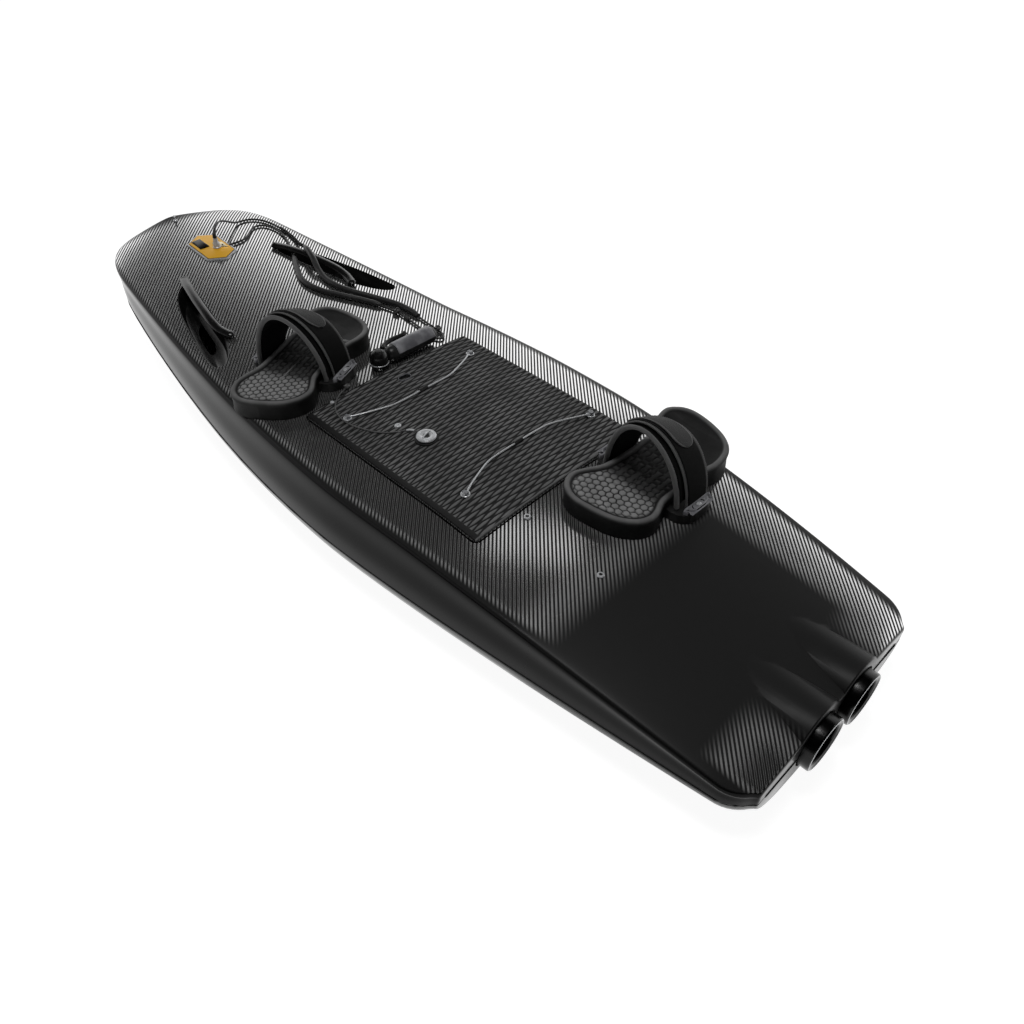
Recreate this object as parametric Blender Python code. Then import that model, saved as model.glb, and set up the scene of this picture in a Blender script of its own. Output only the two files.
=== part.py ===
"""Motorised twin-jet board with two strapped foot bindings, a lift-off hatch and a tethered throttle handset."""

import math

import bmesh
import bpy
from mathutils import Matrix, Vector

# Overall, metres. +X to the nose, +Y port, +Z up, z = 0 under the hull.
X_TAIL = -0.893
X_NOSE = 0.892
MAX_RIDGE = 0.274  # half-width at the deck edge
WIDEST_X = -0.10
TAPER_FRONT = 0.100
TAPER_REAR = 0.080
NOSE_FROM = 0.70
NOSE_BLUNT = 3.8
TAIL_CORNER = 0.048
FLARE = 0.027  # how far the seam stands outside the deck edge
CROWN = 0.016
WALL = 0.005
ORIGIN_X = 0.0090  # moves the middle of the overall length to x = 0
SEAM_Z = 0.083
TAIL_LIFT = 0.026
SEAM_HALF = 0.0016  # half the slot that the rail gasket sits in
GAP = 0.0003

# Hatch
HATCH_X = (-0.363, 0.083)
HATCH_HALF = 0.192
HATCH_CORNER = 0.010
LID_GAP = 0.003
LID_THICK = 0.006
LIP = 0.012
SEAL_THICK = 0.003
PAD_THICK = 0.004
PAD_MARGIN = 0.002

# Hatch fittings
WIRE_R = 0.0016
EYE_R = 0.0021
BAIL_Z = 0.0066  # bail axis above the deck line
FRONT_BAIL = (0.018, -0.150, 0.147, -0.034)  # x of axis, y ends, reach
REAR_BAIL = (-0.279, -0.168, 0.136, 0.031)
KEY_AT = (-0.127, 0.087)
KEY_R = 0.0180
FINGER_AT = (0.041, -0.004)

# Bindings: centre x, centre y, heading in degrees, then how far the toe end stands
# further off the falling deck and how far the pad sits forward of its plate
FRONT_BINDING = (0.2005, 0.106, 22.0, 0.0, 0.0)
REAR_BINDING = (-0.466, -0.115, 1.0, 0.015, 0.008)
PAD_HEIGHT = 0.036
PAD_SKEW = 1.1  # the outer edge of the sole is the longer
TOE_FALL = 0.40  # the strap is this much lower at the toes
PLATE_THICK = 0.018
PLATE_HALF = (0.046, 0.0975)  # along and across the foot
STRAP_U = (-0.058, 0.050)
DECK_GAP = 0.0008  # under plates that follow the deck in other steps than its own
ARCH_A = 0.068  # inner half-span
ARCH_B = 0.132  # inner rise above a centre sunk by ARCH_SINK
ARCH_SINK = 0.012
LAYER_GAP = 0.0016
LINER_THICK = 0.009
STRAP_THICK = 0.004
TAB_THICK = 0.003

# Jets
JET_Y = 0.052
JET_Z = 0.083
FAIRING_R = 0.062
PUMP_R = 0.047
PUMP_BORE = 0.0435
NOZZLE_R = 0.044
NOZZLE_BORE = 0.034
INTAKE_X = (-0.690, -0.560)
INTAKE_HALF = 0.028

# Handset
GRIP_X = 0.105
GRIP_Y = (-0.134, -0.014)
GRIP_R = 0.0165

# Cords: diameters, and routes as x, y and height above the deck line
TETHER_D = 0.0045
TETHER_ROUTE = [
    (0.700, -0.008, 0.0272), (0.7012, -0.009, 0.0340), (0.708, -0.016, 0.0405), (0.720, -0.028, 0.0430), (0.735, -0.045, 0.0395),
    (0.750, -0.064, 0.0290), (0.763, -0.083, 0.0165), (0.774, -0.103, 0.0060), (0.780, -0.124, 0.0034), (0.777, -0.146, 0.0034),
    (0.763, -0.163, 0.0034), (0.738, -0.173, 0.0034), (0.700, -0.178, 0.0034), (0.655, -0.175, 0.0034), (0.616, -0.165, 0.0060),
    (0.587, -0.154, 0.0160), (0.560, -0.146, 0.0243), (0.530, -0.138, 0.0248), (0.503, -0.130, 0.0200), (0.475, -0.122, 0.0080),
    (0.445, -0.116, 0.0034), (0.410, -0.116, 0.0034), (0.375, -0.124, 0.0034), (0.340, -0.139, 0.0034), (0.299, -0.157, 0.0034),
    (0.262, -0.171, 0.0034), (0.222, -0.175, 0.0034), (0.182, -0.171, 0.0034), (0.148, -0.167, 0.0034), (0.122, -0.165, 0.0034),
    (0.106, -0.159, 0.0034), (0.101, -0.150, 0.0040), (0.108, -0.1415, 0.0040), (0.124, -0.1390, 0.0034), (0.150, -0.143, 0.0034),
    (0.185, -0.148, 0.0034), (0.220, -0.151, 0.0034), (0.256, -0.148, 0.0034), (0.297, -0.135, 0.0034), (0.332, -0.118, 0.0034),
    (0.365, -0.100, 0.0034), (0.400, -0.082, 0.0034), (0.435, -0.073, 0.0034), (0.470, -0.074, 0.0034), (0.510, -0.090, 0.0034),
    (0.560, -0.116, 0.0034), (0.605, -0.138, 0.0034), (0.650, -0.156, 0.0034), (0.690, -0.164, 0.0034), (0.720, -0.161, 0.0034),
    (0.737, -0.149, 0.0034), (0.739, -0.132, 0.0034), (0.729, -0.114, 0.0034), (0.712, -0.096, 0.0034), (0.699, -0.078, 0.0034),
    (0.694, -0.060, 0.0034), (0.694, -0.0400, 0.0034),
]
LANYARD_D = 0.0025
LANYARD_ROUTE = [
    (0.0960, 0.0880, 0.0040), (0.0925, 0.0990, 0.0024), (0.0850, 0.1130, 0.0052), (0.0740, 0.1290, 0.0063), (0.0590, 0.1435, 0.0063),
    (0.0400, 0.1530, 0.0063), (0.0180, 0.1565, 0.0063), (-0.0040, 0.1550, 0.0063), (-0.0250, 0.1490, 0.0063), (-0.0480, 0.1390, 0.0063),
    (-0.0680, 0.1250, 0.0063), (-0.0810, 0.1080, 0.0063), (-0.0920, 0.0950, 0.0075), (-0.1075, 0.0885, 0.0098),
]

MATERIALS = {
    "carbon": ((0.012, 0.012, 0.014), 0.0, 0.18),
    "foam": ((0.02, 0.02, 0.022), 0.0, 0.85),
    "pad_rubber": ((0.05, 0.05, 0.055), 0.0, 0.7),
    "webbing": ((0.035, 0.035, 0.04), 0.0, 0.9),
    "steel": ((0.62, 0.63, 0.65), 1.0, 0.25),
    "black_plastic": ((0.015, 0.015, 0.016), 0.0, 0.4),
    "grey_plastic": ((0.35, 0.35, 0.36), 0.0, 0.4),
    "alloy": ((0.5, 0.51, 0.53), 1.0, 0.4),
    "gold": ((0.75, 0.5, 0.12), 1.0, 0.35),
    "gasket": ((0.01, 0.01, 0.01), 0.0, 0.6),
}


def clear_scene():
    for obj in list(bpy.data.objects):
        bpy.data.objects.remove(obj, do_unlink=True)


def new_collection(name):
    collection = bpy.data.collections.new(name)
    bpy.context.scene.collection.children.link(collection)
    return collection


def material_for(kind, node):
    colour, metallic, roughness = MATERIALS[kind]
    material = bpy.data.materials.new(node + "_" + kind)
    material.use_nodes = True
    shader = material.node_tree.nodes["Principled BSDF"]
    shader.inputs["Base Color"].default_value = (*colour, 1.0)
    shader.inputs["Metallic"].default_value = metallic
    shader.inputs["Roughness"].default_value = roughness
    return material


def add_mesh(name, verts, faces, kind=None):
    """A new object; a part when it has a material, otherwise a cutter."""
    mesh = bpy.data.meshes.new(name)
    mesh.from_pydata([tuple(v) for v in verts], [], faces)
    work = bmesh.new()
    work.from_mesh(mesh)
    bmesh.ops.remove_doubles(work, verts=work.verts, dist=1e-6)
    bmesh.ops.recalc_face_normals(work, faces=work.faces)
    if work.calc_volume(signed=True) < 0:
        bmesh.ops.reverse_faces(work, faces=work.faces)
    work.to_mesh(mesh)
    work.free()
    obj = bpy.data.objects.new(name, mesh)
    if kind:
        mesh.materials.append(material_for(kind, name))
        PARTS.objects.link(obj)
    else:
        CUTTERS.objects.link(obj)
        obj.hide_render = True
        obj.display_type = "WIRE"
    return obj


def boolean(obj, other, operation):
    modifier = obj.modifiers.new(operation.title() + "_" + other.name, "BOOLEAN")
    modifier.operation = operation
    modifier.solver = "EXACT"
    modifier.object = other
    return obj


def cut(obj, *others):
    for other in others:
        boolean(obj, other, "DIFFERENCE")
    return obj


def join(obj, *others):
    for other in others:
        boolean(obj, other, "UNION")
    return obj


# ---- basic solids ----


def rings(name, loops, kind=None):
    """Equal loops of points joined in order and capped at both ends."""
    n = len(loops[0])
    verts = [v for loop in loops for v in loop]
    faces = []
    for i in range(len(loops) - 1):
        for j in range(n):
            k = (j + 1) % n
            faces.append((i * n + j, i * n + k, (i + 1) * n + k, (i + 1) * n + j))
    faces.append(tuple(range(n - 1, -1, -1)))
    faces.append(tuple(range((len(loops) - 1) * n, len(loops) * n)))
    return add_mesh(name, verts, faces, kind)


def tube_x(name, x0, x1, y, z, radii, kind=None, sides=40):
    """A turned solid along X: radii is a list of (fraction of length, radius)."""
    loops = []
    for fraction, radius in radii:
        x = x0 + (x1 - x0) * fraction
        loops.append([(x, y + radius * math.cos(a), z + radius * math.sin(a)) for a in circle(sides)])
    return rings(name, loops, kind)


def turned(name, centre, profile, kind=None, sides=32):
    """A turned solid along Z: profile is a list of (radius, height)."""
    x, y, z = centre
    loops = [[(x + r * math.cos(a), y + r * math.sin(a), z + h) for a in circle(sides)] for r, h in profile]
    return rings(name, loops, kind)


def circle(sides):
    return [2 * math.pi * i / sides for i in range(sides)]


def pipe(name, centre, outer, inner, z0, z1, kind, sides=40):
    """A ring standing on end, made as one closed band."""
    x, y = centre
    profile = [(outer, z0), (outer, z1), (inner, z1), (inner, z0)]
    verts, faces = [], []
    for a in circle(sides):
        verts += [(x + r * math.cos(a), y + r * math.sin(a), z) for r, z in profile]
    for i in range(sides):
        for j in range(4):
            k = (j + 1) % 4
            faces.append((i * 4 + j, i * 4 + k, (i + 1) % sides * 4 + k, (i + 1) % sides * 4 + j))
    return add_mesh(name, verts, faces, kind)


def box(name, low, high, kind=None):
    (a, b, c), (d, e, f) = low, high
    return rings(name, [[(a, b, z), (d, b, z), (d, e, z), (a, e, z)] for z in (c, f)], kind)


def rounded_rect(cx, cy, hx, hy, radius, steps=5):
    points = []
    for qx, qy, start in ((1, 1, 0), (-1, 1, 90), (-1, -1, 180), (1, -1, 270)):
        for i in range(steps + 1):
            a = math.radians(start + 90 * i / steps)
            points.append((cx + qx * (hx - radius) + radius * math.cos(a), cy + qy * (hy - radius) + radius * math.sin(a)))
    return points


def prism(name, outline, z0, z1, kind=None):
    return rings(name, [[(x, y, z) for x, y in outline] for z in (z0, z1)], kind)


def sweep(name, path, radius, kind, sides=10, flat=1.0):
    """A rod of round or flattened section along a path, held to the vertical so that it doesn't twist."""
    points = [Vector(p) for p in path]
    loops = []
    side_before = None
    for i, point in enumerate(points):
        ahead = points[min(i + 1, len(points) - 1)] - points[max(i - 1, 0)]
        ahead.normalize()
        up = Vector((0, 0, 1))
        if abs(ahead.dot(up)) > 0.95 and side_before is not None:
            side = side_before - ahead * side_before.dot(ahead)
        else:
            side = ahead.cross(up)
        side.normalize()
        if side_before is not None and side.dot(side_before) < 0:
            side.negate()
        side_before = side
        lift = side.cross(ahead)
        loops.append([point + side * radius * math.cos(a) + lift * radius * flat * math.sin(a) for a in circle(sides)])
    return rings(name, loops, kind)


# ---- the board's own surfaces ----


def ridge_half(x):
    taper = TAPER_FRONT if x > WIDEST_X else TAPER_REAR
    half = MAX_RIDGE - taper * abs(x - WIDEST_X) ** 1.6
    if x > NOSE_FROM:
        t = min((x - NOSE_FROM) / (X_NOSE + 0.0005 - NOSE_FROM), 1.0)
        half *= (1 - t**NOSE_BLUNT) ** (1 / NOSE_BLUNT)
    corner = X_TAIL + TAIL_CORNER
    if x < corner:
        d = min(corner - x, TAIL_CORNER)
        half += math.sqrt(TAIL_CORNER**2 - d * d) - TAIL_CORNER
    return half


def seam_half(x):
    flare = FLARE * math.exp(-(((x - 0.05) / 0.62) ** 2))
    return ridge_half(x) + flare * min(1.0, ridge_half(x) / 0.12)


def ridge_z(x):
    if x < -0.25:
        return 0.181 - 0.071 * ((-0.25 - x) / 0.643) ** 1.6
    if x > 0.2:
        return 0.181 + 0.050 * ((x - 0.2) / 0.72) ** 1.3
    return 0.181


def seam_z(x):
    return SEAM_Z + 0.095 * max(0.0, (x - 0.1) / 0.82) ** 2


def keel_z(x):
    return 0.118 * max(0.0, (x - 0.25) / 0.67) ** 2 + TAIL_LIFT * max(0.0, (-0.50 - x) / 0.393) ** 1.6


def deck_z(x, y):
    return ridge_z(x) + CROWN * max(0.0, 1 - (y / max(ridge_half(x), 0.03)) ** 2)


def rake(x, z):
    """The bow leans back below the deck edge."""
    return x - 0.42 * max(0.0, ridge_z(x) - z) * min(1.0, max(0.0, (x - 0.55) / 0.35)) ** 2


def deck_section(x, inset):
    """From the starboard seam over the deck to the port seam."""
    half, seam = ridge_half(x) - inset, seam_half(x) - inset
    top, low = ridge_z(x) - inset, seam_z(x) + SEAM_HALF
    s = min(1.0, half / 0.1)
    out = seam - half
    side = [
        (seam, low),
        (seam - 0.15 * out, low + 0.30 * (top - low)),
        (seam - 0.50 * out, low + 0.62 * (top - low)),
        (half + 0.10 * out + 0.0035 * s, top - 0.0080 * s),
        (half + 0.0010 * s, top - 0.0022 * s),
        (half - 0.0045 * s, top + 0.0002),
    ]
    crown = CROWN * min(1.0, half / 0.05)
    flat = [(half * t, top + crown * (1 - t * t)) for t in (0.90, 0.75, 0.58, 0.40, 0.20)]
    port = side + flat
    points = [(-y, z) for y, z in port] + [(0.0, top + crown)] + port[::-1]
    return [(rake(x, z), y, z) for y, z in points]


def hull_section(x, inset):
    """From the starboard seam under the keel to the port seam."""
    seam = seam_half(x) - inset
    low = keel_z(x) + inset
    top = seam_z(x) - SEAM_HALF
    deep = top - low
    s = min(1.0, seam / 0.2)
    port = [
        (seam, top),
        (seam - 0.004 * s, top - 0.22 * deep),
        (seam - 0.015 * s, top - 0.48 * deep),
        (seam - 0.037 * s, top - 0.74 * deep),
        (seam - 0.066 * s, top - 0.91 * deep),
        (seam - 0.100 * s, low + 0.025 * deep),
        (seam * 0.42, low),
    ]
    points = [(-y, z) for y, z in port] + [(0.0, low)] + port[::-1]
    return [(rake(x, z), y, z) for y, z in points]


def stations(inset, count=30):
    """Close together at both ends."""
    start, end = X_TAIL + inset, X_NOSE - 0.0004 - 1.6 * inset
    return [start + (end - start) * (0.5 - 0.5 * math.cos(math.pi * i / count)) for i in range(count + 1)]


def tub(name, section, kind):
    """An open shell: outer and inner skins, two end walls and a rim."""
    outer = [section(x, 0.0) for x in stations(0.0)]
    inner = [section(x, WALL) for x in stations(WALL)]
    n, m = len(outer), len(outer[0])
    verts = [v for loop in outer for v in loop] + [v for loop in inner for v in loop]
    faces = []
    base = n * m
    for i in range(n - 1):
        for j in range(m - 1):
            a, b = i * m + j, (i + 1) * m + j
            faces.append((a, a + 1, b + 1, b))
            faces.append((base + a, base + b, base + b + 1, base + a + 1))
        for j in (0, m - 1):
            a, b = i * m + j, (i + 1) * m + j
            faces.append((a, b, base + b, base + a))
    for start in (0, (n - 1) * m):
        faces.append(tuple(range(start, start + m)))
        faces.append(tuple(base + k for k in range(start, start + m)))
        faces.append((start, start + m - 1, base + start + m - 1, base + start))
    return add_mesh(name, verts, faces, kind)


def skin(name, outline, h0, h1, kind, nx=10, ny=10):
    """A plate that follows the deck, between two heights above it, trimmed to an outline."""
    xs, ys = [p[0] for p in outline], [p[1] for p in outline]
    lift = {h: h if callable(h) else (lambda x, y, h=h: h) for h in (h0, h1)}
    x0, x1, y0, y1 = min(xs) - 0.004, max(xs) + 0.004, min(ys) - 0.004, max(ys) + 0.004
    verts, faces = [], []
    for h in (h0, h1):
        for i in range(nx + 1):
            for j in range(ny + 1):
                x, y = x0 + (x1 - x0) * i / nx, y0 + (y1 - y0) * j / ny
                verts.append((x, y, deck_z(x, y) + lift[h](x, y)))
    row, layer = ny + 1, (nx + 1) * (ny + 1)
    for i in range(nx):
        for j in range(ny):
            a = i * row + j
            faces.append((a, a + 1, a + row + 1, a + row))
            faces.append((layer + a, layer + a + row, layer + a + row + 1, layer + a + 1))
    for i in range(nx):
        for j in (0, ny):
            a = i * row + j
            faces.append((a, a + row, layer + a + row, layer + a))
    for j in range(ny):
        for i in (0, nx):
            a = i * row + j
            faces.append((a, a + 1, layer + a + 1, layer + a))
    plate = add_mesh(name, verts, faces, kind)
    trim = prism(name + "_trim", outline, -0.1, 0.6)
    boolean(plate, trim, "INTERSECT")
    return plate


# ---- shells ----

HANDLE_OUTLINE = [
    (0.628, 0.118), (0.600, 0.150), (0.560, 0.172), (0.500, 0.192), (0.430, 0.211), (0.360, 0.224),
    (0.338, 0.222), (0.334, 0.206), (0.350, 0.186), (0.385, 0.166), (0.424, 0.150), (0.500, 0.134), (0.570, 0.120), (0.612, 0.111),
]


def grown(outline, d):
    """The outline pushed outward by d; it is star-shaped about its middle."""
    n = len(outline)
    out = []
    for i, (x, y) in enumerate(outline):
        (ax, ay), (bx, by) = outline[i - 1], outline[(i + 1) % n]
        tx, ty = bx - ax, by - ay
        size = math.hypot(tx, ty)
        cx = sum(p[0] for p in outline) / n
        cy = sum(p[1] for p in outline) / n
        nx, ny = ty / size, -tx / size
        if nx * (x - cx) + ny * (y - cy) < 0:
            nx, ny = -nx, -ny
        out.append((x + nx * d, y + ny * d))
    return out


def mirrored(outline, side):
    return outline if side > 0 else [(x, -y) for x, y in outline]


def hatch_outline(margin):
    cx = (HATCH_X[0] + HATCH_X[1]) / 2
    hx = (HATCH_X[1] - HATCH_X[0]) / 2
    return rounded_rect(cx, 0.0, hx - margin, HATCH_HALF - margin, max(HATCH_CORNER - margin, 0.004))


def make_hull():
    hull = tub("hull_shell", hull_section, "carbon")
    for side in (1, -1):
        y = side * JET_Y
        tag = "_port" if side > 0 else "_starboard"
        cut(hull, tube_x("hull_bore" + tag, X_TAIL - 0.02, X_TAIL + 0.03, y, JET_Z, [(0, PUMP_R + GAP), (1, PUMP_R + GAP)]))
        cut(hull, box("hull_intake" + tag, (INTAKE_X[0], y - INTAKE_HALF, -0.02), (INTAKE_X[1], y + INTAKE_HALF, 0.03)))
    return hull


def make_deck():
    deck = tub("deck_shell", deck_section, "carbon")
    for side in (1, -1):
        y = side * JET_Y
        tag = "_port" if side > 0 else "_starboard"
        fairing = tube_x("fairing" + tag, X_TAIL, -0.640, y, JET_Z, [(0, FAIRING_R - 0.002), (0.008, FAIRING_R), (0.62, FAIRING_R), (0.9, FAIRING_R - 0.02), (1, 0.030)], sides=56)
        join(deck, fairing)
    low = box("deck_under", (X_TAIL - 0.02, -0.3, -0.02), (-0.55, 0.3, SEAM_Z + SEAM_HALF))
    cut(deck, low)
    for side in (1, -1):
        y = side * JET_Y
        tag = "_port" if side > 0 else "_starboard"
        cut(deck, tube_x("deck_bore" + tag, X_TAIL - 0.02, -0.62, y, JET_Z, [(0, PUMP_R + GAP), (1, PUMP_R + GAP)]))
        cut(deck, prism("handle_hole" + tag, grown(mirrored(HANDLE_OUTLINE, side), 0.0010), 0.0, 0.4))
    cut(deck, prism("hatch_opening", hatch_outline(-LID_GAP), 0.0, 0.4))
    return deck


def make_gasket():
    """One band round the rail in the slot between hull and deck, open where the jets pass."""
    low, high = SEAM_HALF - GAP, SEAM_HALF - GAP
    outer, inner = [], []
    xs_out, xs_in = stations(0.0), stations(WALL)
    for xs, inset, store in ((xs_out, -0.0012, outer), (xs_in, WALL, inner)):
        port = [(rake(x, seam_z(x)), seam_half(x) - inset, seam_z(x)) for x in xs]
        store += port + [(x, -y, z) for x, y, z in port[::-1]]
    # The tail ends stand proud of the transom as well.
    outer[0] = (X_TAIL - 0.0012, outer[0][1], outer[0][2])
    outer[-1] = (X_TAIL - 0.0012, outer[-1][1], outer[-1][2])
    verts, faces = [], []
    n = len(outer)
    for i in range(n):
        (ax, ay, az), (bx, by, bz) = outer[i], inner[i]
        verts += [(ax, ay, az - low), (ax, ay, az + high), (bx, by, bz + high), (bx, by, bz - low)]
    for i in range(n):
        k = (i + 1) % n
        for j in range(4):
            m = (j + 1) % 4
            faces.append((i * 4 + j, i * 4 + m, k * 4 + m, k * 4 + j))
    gasket = add_mesh("rail_gasket", verts, faces, "gasket")
    cut(gasket, box("gasket_tail_gap", (X_TAIL - 0.02, -JET_Y - 0.050, 0.0), (X_TAIL + 0.03, JET_Y + 0.050, 0.2)))
    return gasket



# ---- hatch ----


def pocket(name, outline, h0, h1):
    """A cutter with the deck's own curve."""
    return skin(name, outline, h0, h1, None)


def disc_outline(cx, cy, r, sides=24):
    return [(cx + r * math.cos(a), cy + r * math.sin(a)) for a in circle(sides)]


def eye_places():
    ax, y0, y1, _ = FRONT_BAIL
    bx, z0, z1, _ = REAR_BAIL
    return {
        "eyelet_front_starboard": (ax, y0),
        "eyelet_front_port": (ax, y1),
        "eyelet_rear_starboard": (bx, z0),
        "eyelet_rear_port": (bx, z1),
    }


def axis_z(bail):
    """The bail's axis runs level, at the height that its higher end needs."""
    return deck_z(bail[0], min(abs(bail[1]), abs(bail[2]))) + BAIL_Z


def make_hatch():
    frame = skin("hatch_frame", hatch_outline(-0.014), -0.0165, -0.0066, "black_plastic")
    cut(frame, pocket("frame_rebate", hatch_outline(-0.0012), -0.0098, 0.02))
    cut(frame, prism("frame_opening", hatch_outline(LIP), 0.0, 0.4))
    seal = skin("hatch_seal", hatch_outline(0.0010), -0.0095, -0.0063, "gasket")
    cut(seal, prism("seal_opening", hatch_outline(0.0090), 0.0, 0.4))
    skin("hatch_lid", hatch_outline(0.0), -0.0060, 0.0, "carbon")
    pad = skin("hatch_pad", hatch_outline(PAD_MARGIN), GAP, PAD_THICK + GAP, "foam")
    for name, (x, y) in eye_places().items():
        cut(pad, prism(name + "_pocket", rounded_rect(x, y, 0.0060, 0.0045, 0.001, 2), 0.0, 0.4))
    cut(pad, prism("key_pocket", disc_outline(*KEY_AT, KEY_R + 0.0035), 0.0, 0.4))
    cut(pad, prism("finger_pocket", rounded_rect(*FINGER_AT, 0.010, 0.015, 0.0095), 0.0, 0.4))
    skin("key_socket", disc_outline(*KEY_AT, KEY_R + 0.0030, 32), GAP, 0.0062, "black_plastic", 4, 4)
    key = skin("stop_key", disc_outline(*KEY_AT, KEY_R, 32), 0.0065, 0.0125, "steel", 4, 4)
    cut(key, prism("key_dimple", disc_outline(*KEY_AT, 0.0062, 16), deck_z(*KEY_AT) + 0.0100, 0.4))


def make_bail(name, bail):
    """A wire that lies on the pad and turns up about its two ends."""
    ax, y0, y1, reach = bail
    z = axis_z(bail)

    def lie(x, y):
        return (x, y, max(deck_z(x, y) + BAIL_Z, z - 0.0004))

    path = [(ax, y0 - 0.0055, z), (ax, y0 + 0.0040, z), lie(ax + 0.12 * reach, y0 + 0.010)]
    path += [lie(ax + 0.55 * reach, y0 + 0.042), lie(ax + 0.93 * reach, y0 + 0.078), lie(ax + reach, y0 + 0.100)]
    path += [lie(ax + reach, y0 + 0.150), lie(ax + reach, y1 - 0.100), lie(ax + 0.93 * reach, y1 - 0.078)]
    path += [lie(ax + 0.55 * reach, y1 - 0.042), lie(ax + 0.12 * reach, y1 - 0.010), (ax, y1 - 0.0040, z), (ax, y1 + 0.0055, z)]
    sweep(name, path, WIRE_R, "steel", 8)


def make_eyelets():
    for name, (x, y) in eye_places().items():
        z = axis_z(FRONT_BAIL if "front" in name else REAR_BAIL)
        outline = rounded_rect(x, y, 0.0050, 0.0030, 0.001, 2)
        block = skin(name, outline, GAP, 0.020, "alloy", 2, 2)
        boolean(block, box(name + "_top", (x - 0.02, y - 0.02, 0.0), (x + 0.02, y + 0.02, z + 0.0042)), "INTERSECT")
        hole = rings(name + "_hole", [[(x + EYE_R * math.cos(a), y + d, z + EYE_R * math.sin(a)) for a in circle(16)] for d in (-0.01, 0.01)])
        cut(block, hole)


# ---- bindings ----


def foot_frame(binding):
    """Maps along-foot u, across-foot v and a height above the deck to the board."""
    cx, cy, angle = binding[:3]
    a = math.radians(angle)

    def place(u, v, h=None):
        x = cx + u * math.sin(a) + v * math.cos(a)
        y = cy - u * math.cos(a) + v * math.sin(a)
        return (x, y) if h is None else (x, y, deck_z(cx, cy) + h)

    return place


PAD_OUTLINE = [
    (-0.156, 0.004), (-0.154, 0.030), (-0.146, 0.052), (-0.130, 0.070), (-0.108, 0.078), (-0.088, 0.074), (-0.070, 0.066),
    (-0.052, 0.061), (-0.02, 0.060), (0.02, 0.060), (0.052, 0.061), (0.070, 0.065), (0.090, 0.071), (0.112, 0.073),
    (0.132, 0.068), (0.148, 0.055), (0.158, 0.036), (0.162, 0.012),
]


def pad_outline(place, forward):
    port = [(u, v) for u, v in PAD_OUTLINE]
    both = port + [(u, -v) for u, v in port[::-1]]
    return [place(u * (1 + PAD_SKEW * v), v + forward * min(1.0, abs(u) / 0.11) ** 2) for u, v in both]


def strap_band(name, place, grow, thick, u0, u1, t0, t1, kind, steps=22, taper=0.0):
    """A band of cloth or foam bent over the foot; grow sets its inner face outside the arch."""
    mid, half = (u0 + u1) / 2, (u1 - u0) / 2
    r = thick / 2
    loops = []
    for i in range(steps + 1):
        t = math.radians(t0 + (t1 - t0) * i / steps)
        w = half * (1 - taper * abs(math.cos(t)) ** 2)
        section = [(-w, -0.35), (-w + 0.35 * r, -1), (w - 0.35 * r, -1), (w, -0.35), (w, 0.35), (w - 0.35 * r, 1), (-w + 0.35 * r, 1), (-w, 0.35)]
        loop = []
        for p, q in section:
            rise = ARCH_B * (1 - TOE_FALL * (mid + p - STRAP_U[0]) / (STRAP_U[1] - STRAP_U[0]))
            nv, nh = math.cos(t) / ARCH_A, math.sin(t) / rise
            out = (grow + r + q * r) / math.hypot(nv, nh)
            loop.append(place(mid + p, ARCH_A * math.cos(t) + nv * out, PLATE_THICK - ARCH_SINK + rise * math.sin(t) + nh * out))
        loops.append(loop)
    return rings(name, loops, kind)


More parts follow.
